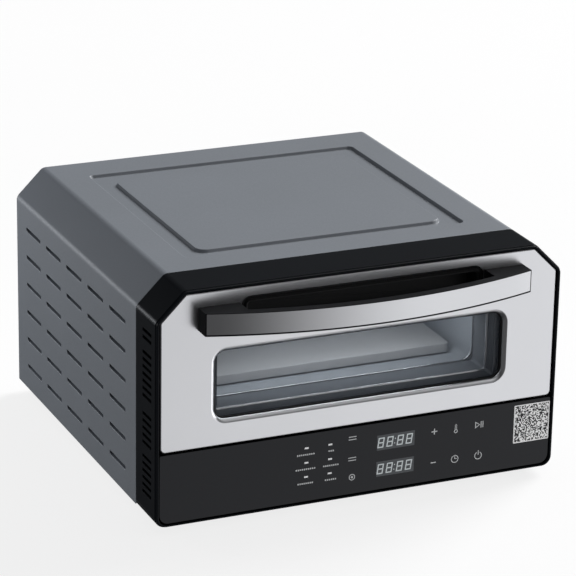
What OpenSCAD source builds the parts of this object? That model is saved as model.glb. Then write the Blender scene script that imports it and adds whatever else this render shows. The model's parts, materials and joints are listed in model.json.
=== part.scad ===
// Countertop electric pizza oven, a deep toaster oven with one drop-down glazed door.
// Inside the modules Y is 0 at the casing's front edge and Z is 0 at the casing's bottom edge;
// place() then moves every node so that the feet stand on Z = 0 and the whole is centred.
// The door faces -Y, +X is to the right as one faces the door, and +Z is up.

/* [Body] */
// Width of the casing
body_w = 460; // [450:1:480]
// Height of the casing, without the feet
body_h = 251; // [249:1:262]
// Depth of the casing behind the front bezel
body_d = 377; // [370:1:400]
// Leg of the chamfer along each top edge
top_chamfer = 31; // [26:1:34]
// Depth of the pressed channel in the top
emboss_d = 3; // [2:0.5:4]
// Height of the feet
foot_h = 14; // [10:1:20]

/* [Door] */
// Depth of the front bezel, in front of the casing
bezel_d = 57; // [56:1:62]
// Height of the door's lower edge above the casing's bottom edge
door_z0 = 77.1; // [76.5:0.1:79]
// Radius of the hinge pins
pin_r = 2.5; // [2:0.1:2.8]
// Running clearance of the hinge pins, on the radius
pin_gap = 0.05; // [0.02:0.01:0.1]

/* [Handle] */
// Half length of the handle
handle_half = 184; // [176:1:190]
// Reach of the handle's middle in front of the door
handle_reach = 49.7; // [44:0.1:54]
// How far the ends of the bow lie behind its middle
handle_sag = 30; // [24:1:32]
// Height of the grip
handle_h = 24.5; // [22:0.5:27]

/* [Oven cavity] */
// Inner width of the cavity
cavity_w = 327; // [322:1:332]
// Inner height of the cavity above its side ledges
cavity_h = 112; // [104:1:114]
// Width of the baking stone
stone_w = 311; // [300:1:314]
// Thickness of the baking stone
stone_t = 11; // [9:1:12]

/* [Hidden] */
$fn = 48;
e = 0.01;                                  // overshoot that keeps cuts clean
t = 1;                                     // gauge of the sheet metal
gap = 0.3;                                 // clearance between fitted parts
half_w = body_w / 2;

// door, from its front face backwards
door_y = 1.7 - bezel_d;                    // front face of the door skin
door_half = half_w - 5.3;
door_z1 = body_h - 4.4;
door_chamfer = top_chamfer - 3.5;
door_back = door_y + 31.3;                 // rear face of the door's inner frame
frame_half = door_half - 8.7;              // inner frame, which clears the bezel as it swings
frame_z0 = door_z0 + 2.9;
frame_z1 = door_z1 - 4.1;
pin_y = door_y + 5.8;
pin_z = door_z0 + 6.4;

// window
win_half = 169;
win_z0 = 100.5;
win_z1 = 184.5;
win_r = 17;
win_rim = 4.2;                             // width of the rolled rim round the window
seal_in = win_rim + 3;                     // from the rim's outer edge to the gasket's inner edge
glass_y = door_y + 6.3;                    // front of the outer pane
pane_t = 3;
tunnel_half = 159;                         // opening through the door behind the outer pane
tunnel_z0 = 105.5;
tunnel_z1 = 179.5;

// handle
grip_z1 = 231;
grip_z0 = grip_z1 - handle_h;
grip_t = 10;                               // thickness of the bow
block_in = handle_half - 45;               // inner side of each end block
bow_y = door_y - handle_reach;             // front of the bow at its middle
bow_r = (handle_half * handle_half + handle_sag * handle_sag) / (2 * handle_sag);
bow_c = bow_y + bow_r;                     // centre of the bow's arc
strip_t = 1.2;
strip_edge = 1.2;                          // black border left round the steel strip
pocket_half = 133;                         // finger pocket behind the bow
pocket_z0 = 197;
pocket_z1 = 233;
pocket_d = 24;

// front plate and cavity
seal_gap = 4;                              // room for the seal between the door and the plate
plate_y = door_back + seal_gap;            // front face of the plate that the door closes on
plate_t = 1.2;
mouth_y = 11;                              // mouth of the liner
mouth_half = cavity_w / 2 - 1;
mouth_z0 = 102.5;
cav_y1 = body_d - 43;                      // inner face of the cavity's back wall
ledge_z = 96.1;                            // side ledges that carry the stone
cav_z1 = ledge_z + cavity_h;
sump_half = 148;
sump_z = 82;                               // floor below the lower element
sump_y0 = 62;
sump_y1 = cav_y1 - 12;
rest_h = 1.2;
stone_z = ledge_z + rest_h + gap;
stone_y0 = 50;
stone_y1 = cav_y1 - 3;
tube_r = 3.25;                             // heating elements
upper_z = cav_z1 - 12;
lower_z = sump_z + 6.5;
wool = 10;                                 // thickness of the insulation
wool_half = cavity_w / 2 + t + 0.7;
wool_z0 = sump_z - t - 0.7;
wool_z1 = cav_z1 + t + 0.7;
wool_y1 = cav_y1 + t + 0.7;

// control panel
panel_y = door_y;
panel_t = 3;
panel_half = half_w - 5;
panel_z0 = -1.5;
panel_z1 = door_z0 - 2.5;
back_y = panel_y + panel_t;                // rear of the control glass
backing_d = 6;                             // depth of the moulded backing behind the glass
board_y = back_y + 8.3;
board_t = 1.6;
print_t = 0.15;
lean = 0.14;                               // slant of the digits
digit_w = 7;
digit_h = 11.5;
display_w = 44;
display_h = 17.2;
display_x = 42;
display_zs = [21.7, 51.7];
lens_t = 0.4;
led_xs = [-61, -34];
led_zs = [26.1, 42.2, 58.7];
plus_spot = [87, 55];                      // touch fields, each with its pictogram
minus_spot = [87, 19.3];
heat_spot = [112.5, 55];
clock_spot = [112.5, 19.5];
play_spot = [140.4, 55];
power_spot = [140.4, 19.6];
icon_spots = [plus_spot, minus_spot, heat_spot, clock_spot, play_spot, power_spot];

// bezel
bezel_drop = 5.8;                          // how far the bezel hangs below the casing
bezel_in = half_w - 3.8;                   // inner half width round the door
ledge_y = plate_y + plate_t;               // ledge that carries the front plate
vent_groups = [[202.2, 2], [178.2, 7], [110.8, 5], [63.5, 6]];
vent_pitch = 7.9;

// casing
louvre_y0 = 30;
louvre_pitch_y = 66.5;
louvre_l = 48.6;
louvre_h = 5.5;
louvre_z0 = 27.9;
louvre_pitch_z = 32.7;
louvre_d = 4;
emboss_half = 162;
emboss_ys = [36, 330];
plateau_half = 140;
plateau_ys = [53, 300];
emboss_r = 11;
rim_w = 10;                                // width of the casing's inward flanges

// base bay, below the cavity
foot_spots = [for (x = [-175, 175], y = [42, body_d - 42]) [x, y]];
screw_r = 1.5;
fan_x = -120;
fan_z = 37;
fan_s = 60;
fan_y0 = body_d - 28;
fan_y1 = fan_y0 + 20;
hub_r = 12;
gland_x = 150;
gland_z = 32;
gland_bore = 4;
probe_x = 157;
probe_z = 165;
pcb_z = 20;
pcb_x = [40, 200];
pcb_y = [170, 300];
stand_off = 6;                             // from the power board's edges to its stand-offs
terminal_h = 12;                           // height of the power board's terminal block
loom_z = pcb_z + board_t + terminal_h + 0.1;   // lower ends of the wires, on the terminal block
wire_r = 1.8;
hinge_x = 190;                             // inner face of each hinge arm
arm_t = 4;                                 // thickness of a hinge arm
lug_t = 3;                                 // thickness of a hinge lug
lug_gap = 1.6;                             // side play between an arm and a lug
rear_y = body_d - 2;                       // front face of the rear panel
spacer_l = 10;

// whole object
y_front = bow_y;
y_back = rear_y + t + spacer_l;
y_shift = -(y_front + y_back) / 2;
module place() { translate([0, y_shift, foot_h]) children(); }

// ---- helpers ----
// extrudes a drawing in X and Z from y0 back to y1
module deep(y0, y1) { translate([0, y1, 0]) rotate([90, 0, 0]) linear_extrude(y1 - y0) children(); }
// extrudes a drawing in Y and Z from x0 to x1
module across(x0, x1) {
    translate([x0, 0, 0]) rotate([90, 0, 90]) linear_extrude(x1 - x0) children();
}
module block(lo, hi) { translate(lo) cube(hi - lo); }
module rod(x, z, y0, y1, r) { translate([x, y1, z]) rotate([90, 0, 0]) cylinder(h = y1 - y0, r = r); }
module rounded(x0, z0, x1, z1, r) {
    translate([x0 + r, z0]) square([x1 - x0 - 2 * r, z1 - z0]);
    translate([x0, z0 + r]) square([x1 - x0, z1 - z0 - 2 * r]);
    for (x = [x0 + r, x1 - r], z = [z0 + r, z1 - r]) translate([x, z]) circle(r);
}
// front outline: chamfered top corners, rounded bottom corners
module outline(h, z0, z1, c, r) {
    polygon([[-h + r, z0], [h - r, z0], [h, z0 + r], [h, z1 - c], [h - c, z1],
        [c - h, z1], [-h, z1 - c], [-h, z0 + r]]);
    for (x = [-h + r, h - r]) translate([x, z0 + r]) circle(r);
}
// square-bottomed outline, drawn g inside the casing's outer skin
module casing_line(g) {
    c = top_chamfer - g * (2 - sqrt(2));
    h = half_w - g;
    polygon([[-h, 0], [h, 0], [h, body_h - g - c], [h - c, body_h - g],
        [c - h, body_h - g], [-h, body_h - g - c]]);
}
module both_sides() { for (s = [0, 1]) mirror([s, 0, 0]) children(); }
module screw(x, z, y0, y1, head) {
    rod(x, z, y0, y1, screw_r);
    if (head > 0) rod(x, z, y1, y1 + head, 2.9);
    else rod(x, z, y0 + head, y0, 2.9);
}
// tube in a level plane: two legs joined by a front bar with round corners
module hairpin(half, y_bend, y_end, z, bend) {
    both_sides() {
        rod(half, z, y_bend + bend, y_end, tube_r);
        translate([half - bend, y_bend + bend, z]) rotate([0, 0, -90])
            rotate_extrude(angle = 90) translate([bend, 0]) circle(tube_r);
    }
    translate([bend - half, y_bend, z]) rotate([0, 90, 0])
        cylinder(h = 2 * (half - bend), r = tube_r);
}
// tube with an eight-sided section that follows a list of points
function unit(v) = v / norm(v);
function heading(p, i) = i == 0 ? unit(p[1] - p[0])
    : i == len(p) - 1 ? unit(p[i] - p[i - 1])
    : unit(unit(p[i + 1] - p[i]) + unit(p[i] - p[i - 1]));
function ring_at(c, n, r, up) = let (u = unit(cross(n, up)), v = cross(n, u))
    [for (k = [0 : 7]) c + r * (cos(k * 45) * u + sin(k * 45) * v)];
module wire(points, r) {
    n = len(points);
    up = [0.2, 0.1, 1];
    polyhedron([for (i = [0 : n - 1]) each ring_at(points[i], heading(points, i), r, up)], concat(
        [[for (k = [0 : 7]) k]],
        [for (i = [0 : n - 2], k = [0 : 7])
            [i * 8 + k, i * 8 + 8 + k, i * 8 + 8 + (k + 1) % 8, i * 8 + (k + 1) % 8]],
        [[for (k = [7 : -1 : 0]) (n - 1) * 8 + k]]));
}

// ---- casing ----
module louvre_spots() {
    for (i = [0 : 4], j = [0 : 5])
        translate([0, louvre_y0 + i * louvre_pitch_y, louvre_z0 + j * louvre_pitch_z]) children();
}
module outer_casing() {
    color("slategray") difference() {
        union() {
            deep(0, body_d) difference() {
                casing_line(0);
                translate([0, -e]) casing_line(t);
            }
            // flange that the rear panel is screwed to, and flanges for the base pan
            deep(rear_y - t, rear_y) difference() {
                casing_line(t / 2);
                translate([0, -e]) casing_line(rim_w);
            }
            both_sides() block([half_w - rim_w, 2, t + gap], [half_w - t / 2, body_d - 4, 2 * t + gap]);
            // underside of the pressed channel in the top
            translate([0, 0, body_h - emboss_d - t]) linear_extrude(emboss_d + t / 2) difference() {
                rounded(-emboss_half - t, emboss_ys[0] - t, emboss_half + t, emboss_ys[1] + t,
                    emboss_r + t);
                rounded(t - plateau_half, plateau_ys[0] + t, plateau_half - t, plateau_ys[1] - t,
                    emboss_r - t);
            }
        }
        translate([0, 0, body_h - emboss_d]) linear_extrude(emboss_d + t) difference() {
            rounded(-emboss_half, emboss_ys[0], emboss_half, emboss_ys[1], emboss_r);
            rounded(-plateau_half, plateau_ys[0], plateau_half, plateau_ys[1], emboss_r);
        }
        both_sides() louvre_spots() difference() {
            block([half_w - 2 * t, 0, -louvre_h / 2], [half_w + t, louvre_l, louvre_h / 2]);
            louvre_tongue();
        }
        for (p = casing_screw_spots()) rod(p[0], p[1], rear_y - 2 * t, rear_y + t, screw_r + 0.1);
        for (p = base_screw_spots()) translate([p[0], p[1], 0]) cylinder(h = 4, r = screw_r + 0.1);
    }
    color("slategray") both_sides() louvre_spots() louvre_tongue();
}
// tongue lanced inwards, open at its rear end
module louvre_tongue() {
    translate([0, 0, -louvre_h / 2]) linear_extrude(louvre_h)
        polygon([[half_w, 0], [half_w - louvre_d, louvre_l], [half_w - louvre_d - t, louvre_l],
            [half_w - t, -e]]);
}
function casing_screw_spots() = [for (x = [-half_w + 6, half_w - 6], z = [30, 110, 190]) [x, z]];
function base_screw_spots() = [for (x = [-half_w + 6, half_w - 6], y = [60, body_d - 60]) [x, y]];
module rear_panel() {
    color("slategray") difference() {
        deep(rear_y, rear_y + t) casing_line(t + gap);
        for (p = casing_screw_spots()) rod(p[0], p[1], rear_y - t, rear_y + 2 * t, screw_r + 0.1);
        // fan grille: rings of round holes
        for (ring = [1 : 3], k = [0 : ring * 6 - 1])
            rod(fan_x + ring * 8 * cos(k * 60 / ring), fan_z + ring * 8 * sin(k * 60 / ring),
                rear_y - t, rear_y + 2 * t, 2.6);
        // hot-air slots near the top
        for (x = [-150 : 50 : 150], z = [212, 222, 232])
            block([x - 19, rear_y - t, z - 2], [x + 19, rear_y + 2 * t, z + 2]);
        rod(gland_x, gland_z, rear_y - t, rear_y + 2 * t, 7.6);
        for (x = [-130, 130]) rod(x, 150, rear_y - t, rear_y + 2 * t, 2.1);
    }
}
module base_pan() {
    inner = half_w - t - gap;
    color("dimgray") difference() {
        union() {
            block([-inner, 1, 0], [inner, rear_y - t - gap, t]);
            both_sides() block([inner - rim_w - 2, 1, 0], [inner - rim_w - 1, rear_y - t - gap, 16]);
            block([-inner + 14, 1, 0], [inner - 14, 2, 16]);
        }
        for (p = foot_spots) translate([p[0], p[1], -e]) cylinder(h = 2 * t, r = screw_r + 0.1);
        for (p = base_screw_spots()) translate([p[0], p[1], -e]) cylinder(h = 2 * t, r = screw_r + 0.1);
        for (x = [-90 : 60 : 90], y = [40 : 14 : 138])
            block([x - 20, y, -t], [x + 20, y + 5, 2 * t]);
    }
}
module feet() {
    color("#202124") for (p = foot_spots) translate([p[0], p[1], -foot_h]) difference() {
        union() {
            cylinder(h = 3, r1 = 11.5, r2 = 12.5);
            translate([0, 0, 3]) cylinder(h = foot_h - 3, r1 = 12.5, r2 = 14);
        }
        translate([0, 0, -e]) cylinder(h = foot_h - 4 + 2 * e, r = 4.5);
        cylinder(h = foot_h + 1, r = screw_r + 0.1);
    }
}
module foot_screws() {
    color("silver") for (p = foot_spots) translate([p[0], p[1], 0]) {
        translate([0, 0, -4]) cylinder(h = 8, r = screw_r);
        translate([0, 0, -6]) cylinder(h = 2, r = 3.2);
    }
}
module casing_screws() {
    color("#3c3e42") for (p = casing_screw_spots()) screw(p[0], p[1], rear_y - 8, rear_y + t, 1.6);
}
module base_screws() {
    color("#3c3e42") for (p = base_screw_spots()) translate([p[0], p[1], 0]) {
        cylinder(h = 8, r = screw_r);
        translate([0, 0, -1.6]) cylinder(h = 1.6, r = 2.9);
    }
}
module rear_spacers() {
    color("#202124") for (x = [-130, 130]) {
        rod(x, 150, rear_y - 6, rear_y + t, 2);
        translate([x, rear_y + t + spacer_l, 150]) rotate([90, 0, 0])
            cylinder(h = spacer_l, r1 = 7, r2 = 9);
    }
}
module cord_gland() {
    color("#202124") difference() {
        union() {
            rod(gland_x, gland_z, rear_y - 8, rear_y + t, 7.5);
            rod(gland_x, gland_z, rear_y + t, rear_y + t + 3, 10);
            translate([gland_x, rear_y + t + spacer_l - 1, gland_z]) rotate([90, 0, 0])
                cylinder(h = spacer_l - 4, r1 = 6, r2 = 7.5);
            rod(gland_x, gland_z, rear_y - 10, rear_y - 8, 9);
        }
        rod(gland_x, gland_z, rear_y - 12, rear_y + spacer_l + 2, gland_bore);
    }
}

// ---- bezel, front plate and cavity ----
module front_bezel() {
    color("#1c1e22") {
        difference() {
            union() {
                deep(3 - bezel_d, 0) outline(half_w, -bezel_drop, body_h, top_chamfer, 12);
                deep(-bezel_d, 3 - bezel_d) outline(half_w - 1, 1 - bezel_drop, body_h - 1,
                    top_chamfer - 0.6, 11);
            }
            deep(-bezel_d - 1, ledge_y) outline(bezel_in, -2.7, body_h - 3.3, top_chamfer - 2, 9);
            deep(ledge_y - 1, -3) outline(half_w - 12, 4, body_h - 11, top_chamfer - 6, 4);
            deep(-4, 1) outline(half_w - 18, 8, body_h - 15, top_chamfer - 9, 4);
            both_sides() for (g = vent_groups, i = [0 : g[1] - 1])
                translate([0, 0, g[0] - i * vent_pitch])
                    block([half_w - 6, 13 - bezel_d, -1.7], [half_w + 1, ledge_y - 0.5, 1.7]);
            for (p = plate_screw_spots()) rod(p[0], p[1], ledge_y - 1, ledge_y + 9, screw_r + 0.1);
        }
        // shelf between the control panel and the door
        block([-bezel_in - 1, back_y + backing_d + gap, panel_z1 - 2.6],
            [bezel_in + 1, ledge_y + 2, panel_z1 - 0.6]);
    }
}
function plate_screw_spots() = [for (s = [-1, 1], z = [96, 150, 204]) [s * (half_w - 8.5), z]];
module front_plate() {
    color("silver") {
        difference() {
            deep(plate_y, plate_y + plate_t)
                outline(bezel_in - 0.4, panel_z1 + 1, body_h - 3.8, top_chamfer - 2, 1);
            deep(plate_y - 1, plate_y + 2)
                rounded(-mouth_half - 0.5, mouth_z0 - 0.7, mouth_half + 0.5, cav_z1 + 0.7, 4);
            for (p = plate_screw_spots()) rod(p[0], p[1], plate_y - 1, plate_y + 2, screw_r + 0.1);
        }
        deep(plate_y, mouth_y) difference() {
            rounded(-mouth_half - 1.5, mouth_z0 - 1.7, mouth_half + 1.5, cav_z1 + 1.7, 5);
            rounded(-mouth_half - 0.5, mouth_z0 - 0.7, mouth_half + 0.5, cav_z1 + 0.7, 4);
        }
    }
}
module plate_screws() {
    color("silver") for (p = plate_screw_spots()) screw(p[0], p[1], plate_y, ledge_y + 8, -1.6);
}
module door_seal() {
    color("#2a2b2d") deep(plate_y - 3.6, plate_y - 0.05) difference() {
        rounded(-mouth_half - 12, mouth_z0 - 11, mouth_half + 12, cav_z1 + 12, 16);
        rounded(-mouth_half - 6, mouth_z0 - 5, mouth_half + 6, cav_z1 + 6, 10);
    }
}
module oven_liner() {
    chamber = cavity_w / 2;
    color("#8d9093") difference() {
        union() {
            deep(mouth_y, cav_y1 + t) rounded(-chamber - t, ledge_z - t, chamber + t, cav_z1 + t, 9);
            deep(mouth_y, mouth_y + t) rounded(-chamber - 8, ledge_z - 8, chamber + 8, cav_z1 + 8, 6);
            block([-sump_half - t, sump_y0 - t, sump_z - t], [sump_half + t, sump_y1 + t, ledge_z]);
        }
        deep(mouth_y + t, cav_y1) rounded(-chamber, ledge_z, chamber, cav_z1, 8);
        deep(mouth_y - 1, mouth_y + 2) rounded(-mouth_half, mouth_z0, mouth_half, cav_z1, 14);
        block([-sump_half, sump_y0, sump_z], [sump_half, sump_y1, ledge_z + 1]);
        for (s = terminal_spots()) rod(s[0], s[1], sump_y1 - 1, cav_y1 + 2, tube_r + 0.15);
        rod(probe_x, probe_z, cav_y1 - 1, cav_y1 + 2, 2.1);
    }
}
function terminal_spots() = concat([for (x = [-120, -62, 62, 120]) [x, upper_z]],
    [for (x = [-110, -56, 56, 110]) [x, lower_z]]);
module insulation_blanket() {
    color("#c9c7b8") difference() {
        block([-wool_half - wool, mouth_y + 10, wool_z0 - wool],
            [wool_half + wool, wool_y1 + wool, wool_z1 + wool]);
        block([-wool_half, mouth_y, wool_z0], [wool_half, wool_y1, wool_z1]);
        for (s = terminal_spots()) rod(s[0], s[1], wool_y1 - 1, wool_y1 + wool + 1, 7);
        rod(probe_x, probe_z, wool_y1 - 1, wool_y1 + wool + 1, 5);
    }
}
module upper_element() {
    color("#4a4c50") {
        hairpin(120, 40, cav_y1 + wool + 8, upper_z, 16);
        hairpin(62, 90, cav_y1 + wool + 8, upper_z, 16);
    }
}
module lower_element() {
    color("#4a4c50") {
        hairpin(110, 84, cav_y1 + wool + 8, lower_z, 16);
        hairpin(56, 130, cav_y1 + wool + 8, lower_z, 16);
    }
}
module element_clips() {
    color("silver") for (x = [-62, 62], y = [120, 240]) difference() {
        block([x - 5, y - 4, upper_z - 4.5], [x + 5, y + 4, cav_z1]);
        rod(x, upper_z, y - 5, y + 5, tube_r + 0.1);
    }
    color("silver") for (x = [-110, 110], y = [150, 250]) difference() {
        block([x - 5, y - 4, sump_z], [x + 5, y + 4, lower_z + 4.5]);
        rod(x, lower_z, y - 5, y + 5, tube_r + 0.1);
    }
}
module element_terminals() {
    color("white") for (s = terminal_spots()) difference() {
        rod(s[0], s[1], cav_y1 + t + 0.1, cav_y1 + wool + 6, 6);
        rod(s[0], s[1], cav_y1, cav_y1 + wool + 7, tube_r + 0.1);
    }
    color("silver") for (s = terminal_spots())
        block([s[0] - 3, cav_y1 + wool + 8, s[1] - 0.4], [s[0] + 3, cav_y1 + wool + 16, s[1] + 0.4]);
}
module temperature_probe() {
    color("silver") {
        rod(probe_x, probe_z, cav_y1 - 45, cav_y1 + wool + 10, 2);
        rod(probe_x, probe_z, cav_y1 - 2, cav_y1, 6);
    }
}
module thermal_cutout() {
    color("#55504a") translate([0, 170, wool_z1 + wool]) {
        cylinder(h = 4, r = 12);
        translate([0, 0, 4]) cylinder(h = 7, r = 8);
    }
    color("silver") for (x = [-5, 5])
        block([x - 0.4, 167, wool_z1 + wool + 11], [x + 0.4, 173, wool_z1 + wool + 18]);
}
module stone_rests() {
    x = cavity_w / 2 - 12;
    color("silver") for (s = [-1, 1], y = [90, cav_y1 - 60])
        block([s * x - 3.5, y - 10, ledge_z], [s * x + 3.5, y + 10, ledge_z + rest_h]);
}
module baking_stone() {
    color("#d6d1cb") translate([0, 0, stone_z]) linear_extrude(stone_t)
        rounded(-stone_w / 2, stone_y0, stone_w / 2, stone_y1, 6);
}

// ---- control panel ----
module control_glass() {
    color("#2b2c30") difference() {
        deep(panel_y, back_y) outline(panel_half, panel_z0, panel_z1, 1, 10);
        for (x = led_xs, z = led_zs)
            block([x - 2.25, panel_y - 1, z - 1], [x + 2.25, back_y + 1, z + 1]);
        for (z = display_zs) block([display_x - display_w / 2, panel_y - 1, z - display_h / 2],
            [display_x + display_w / 2, panel_y + lens_t, z + display_h / 2]);
    }
}
module display_windows() {
    color("#4b4f53") for (z = display_zs)
        block([display_x - display_w / 2 + 0.05, panel_y + 0.02, z - display_h / 2 + 0.05],
            [display_x + display_w / 2 - 0.05, panel_y + lens_t - 0.02, z + display_h / 2 - 0.05]);
}
// one slanted bar on the face of the display window
module digit_bar(x, z, x0, z0, x1, z1) {
    deep(panel_y - print_t, panel_y + 0.02)
        polygon([for (p = [[x0, z0], [x1, z0], [x1, z1], [x0, z1]]) [x + p[0] + lean * p[1], z + p[1]]]);
}
// seven bars of one digit, with a fine gap between them
module digit(x, z) {
    b = 1.3;                               // width of a bar
    g = 0.08;
    mid = digit_h / 2;
    digit_bar(x, z, b, 0, digit_w - b, b);
    digit_bar(x, z, b, mid - b / 2, digit_w - b, mid + b / 2);
    digit_bar(x, z, b, digit_h - b, digit_w - b, digit_h);
    for (x0 = [0, digit_w - b]) {
        digit_bar(x, z, x0 + (x0 > 0 ? g : 0), g, x0 + b - (x0 > 0 ? 0 : g), mid - g);
        digit_bar(x, z, x0 + (x0 > 0 ? g : 0), mid + g, x0 + b - (x0 > 0 ? 0 : g), digit_h - g);
    }
}
module display_digits() {
    color("#9fa8a9") for (z = display_zs) {
        for (x = [20.3, 30.8, 42.8, 53.3]) digit(x, z - digit_h / 2);
        for (dz = [-2.6, 2.6]) rod(40.9 + lean * dz, z + dz, panel_y - print_t, panel_y + 0.02, 0.6);
    }
}
module display_modules() {
    color("white") for (z = display_zs)
        block([display_x - 23, back_y + 0.1, z - 9], [display_x + 23, board_y - 0.1, z + 9]);
}
module preset_leds() {
    color("#d8dadc") for (x = led_xs, z = led_zs)
        block([x - 2.2, panel_y, z - 0.95], [x + 2.2, board_y - 0.05, z + 0.95]);
}
module printed(x0, z0, x1, z1) {
    block([x0, panel_y - print_t, z0], [x1, panel_y - 0.01, z1]);
}
// a printed bar measured from the middle of a pictogram
module stroke(x0, z0, x1, z1) { block([x0, panel_y - print_t, z0], [x1, panel_y - 0.01, z1]); }
module printed_ring(x, z, r, w) {
    difference() {
        rod(x, z, panel_y - print_t, panel_y - 0.01, r);
        rod(x, z, panel_y - 1, panel_y + 1, r - w);
    }
}
// rows of dashes stand for the wording, with simple pictograms at the touch fields
module dashes(x, z, count) {
    pitch = 2.3;
    for (k = [0 : count - 1]) let (x0 = x + (k - count / 2) * pitch)
        printed(x0 + 0.4, z - 0.85, x0 + pitch - 0.4, z + 0.85);
}
module panel_legends() {
    w = 0.9;                               // width of a line
    color("#d0d2d4") {
        for (row = [0 : 2]) {
            z = led_zs[row] - 7.2;
            dashes(led_xs[0] - 1, z, [8, 10, 9][row]);
            dashes(led_xs[1] + 1, z, [6, 8, 3][row]);
        }
        for (z = [60.5, 36.8], dz = [0, 3]) printed(-13, z + dz - w / 2, -4, z + dz + w / 2);
        // touch mark below the two pairs of lines
        printed_ring(-8.2, 17.5, 3.6, w);
        rod(-8.2, 17.5, panel_y - print_t, panel_y - 0.01, 1.3);
        translate([plus_spot[0], 0, plus_spot[1]]) {
            stroke(-3.4, -0.6, 3.4, 0.6);
            stroke(-0.6, 0.6 + e, 0.6, 3.4);
            stroke(-0.6, -3.4, 0.6, -0.6 - e);
        }
        translate([minus_spot[0], 0, minus_spot[1]]) stroke(-3, -0.6, 3, 0.6);
        // thermometer
        printed_ring(heat_spot[0], heat_spot[1] - 3.4, 2.2, w);
        translate([heat_spot[0], 0, heat_spot[1]]) {
            for (x = [-1.2, 0.5]) stroke(x, -1, x + 0.7, 4);
            stroke(-0.5, 4.1, 0.5, 4.8);
        }
        // clock
        printed_ring(clock_spot[0], clock_spot[1], 4.4, w);
        translate([clock_spot[0], 0, clock_spot[1]]) {
            stroke(-0.4, 0, 0.4, 3);
            stroke(0.5, 0, 2.7, 0.8);
        }
        // play and pause
        translate([play_spot[0], 0, play_spot[1]]) {
            deep(panel_y - print_t, panel_y - 0.01) difference() {
                polygon([[-5, -4], [-5, 4], [1, 0]]);
                polygon([[-4.1, -2.4], [-4.1, 2.4], [-0.5, 0]]);
            }
            for (x = [1.6, 3.8]) stroke(x, -3.6, x + 1, 3.6);
        }
        // power
        difference() {
            printed_ring(power_spot[0], power_spot[1] - 0.4, 4.5, w);
            translate([power_spot[0], 0, power_spot[1]])
                block([-1.7, panel_y - 1, 1.4], [1.7, panel_y + 1, 7]);
        }
        translate([power_spot[0], 0, power_spot[1]]) stroke(-w / 2, 0.4, w / 2, 5.6);
    }
}
module corner_sticker() {
    color("#e8e9ea") block([182, panel_y - 0.35, 26.5], [panel_half - 0.3, panel_y - 0.05, 70.3]);
}
module panel_backing() {
    color("#26272a") difference() {
        union() {
            deep(back_y + 0.05, back_y + 2) outline(panel_half - 1, panel_z0 + 1, panel_z1 - 1, 1, 9);
            deep(back_y + 0.05, back_y + backing_d) difference() {
                outline(panel_half - 1, panel_z0 + 1, panel_z1 - 1, 1, 9);
                outline(panel_half - 3, panel_z0 + 3, panel_z1 - 3, 1, 7);
            }
            for (p = board_posts()) rod(p[0], p[1], back_y + 1, board_y - 0.05, 3);
        }
        for (p = board_posts()) rod(p[0], p[1], back_y + 2.5, board_y, 1);
        for (p = icon_spots) rod(p[0], p[1], back_y - 1, back_y + 7, 6);
        for (z = display_zs) block([display_x - 23.5, back_y - 1, z - 9.5],
            [display_x + 23.5, back_y + 7, z + 9.5]);
        for (x = led_xs, z = led_zs) block([x - 3, back_y - 1, z - 2], [x + 3, back_y + 7, z + 2]);
        for (s = [-1, 1]) block([s * 192 - 12, back_y + 1.6, panel_z1 - 5],
            [s * 192 + 12, back_y + 7, panel_z1]);
    }
}
function board_posts() = [for (x = [-198, -75, 160, 198], z = [12, 62]) [x, z]];
module control_board() {
    color("#1f5b3a") difference() {
        block([-205, board_y, 6], [205, board_y + board_t, 68]);
        for (p = board_posts()) rod(p[0], p[1], board_y - 1, board_y + 3, 1.2);
    }
}
module board_parts() {
    y = board_y + board_t;
    color("#222326") {
        block([-20, y, 24], [-4, y + 2.4, 40]);
        block([100, y, 30], [112, y + 2, 38]);
        rod(-120, 36, y, y + 7, 6);
    }
    color("white") {
        block([-180, y, 20], [-150, y + 9, 28]);
        block([150, y, 16], [185, y + 9, 24]);
    }
}
module touch_springs() {
    color("#b8a24a") for (p = icon_spots) difference() {
        rod(p[0], p[1], back_y + 0.05, board_y - 0.05, 4.5);
        rod(p[0], p[1], back_y - 1, board_y + 1, 3.7);
    }
}

// ---- electrics in the base bay ----
module power_board() {
    color("#1f5b3a") difference() {
        block([pcb_x[0], pcb_y[0], pcb_z], [pcb_x[1], pcb_y[1], pcb_z + board_t]);
        for (p = stand_offs()) translate([p[0], p[1], pcb_z - 1]) cylinder(h = 4, r = 1.7);
    }
    // stand-offs with a snap tip
    color("white") for (p = stand_offs()) translate([p[0], p[1], t]) {
        cylinder(h = pcb_z - t, r = 3);
        cylinder(h = pcb_z - t + board_t + 2, r = 1.6);
    }
}
function stand_offs() = [for (x = [pcb_x[0] + stand_off, pcb_x[1] - stand_off],
    y = [pcb_y[0] + stand_off, pcb_y[1] - stand_off]) [x, y]];
module power_parts() {
    z = pcb_z + board_t;
    color("#2450a0") for (x = [60, 92, 124]) block([x, 185, z], [x + 22, 205, z + 18]);
    color("#d0b030") block([150, 185, z], [185, 215, z + 24]);
    color("#222326") for (x = [70, 100]) translate([x, 240, z]) cylinder(h = 20, r = 8);
    color("white") block([60, 278, z], [130, 290, z + terminal_h]);
}
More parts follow.
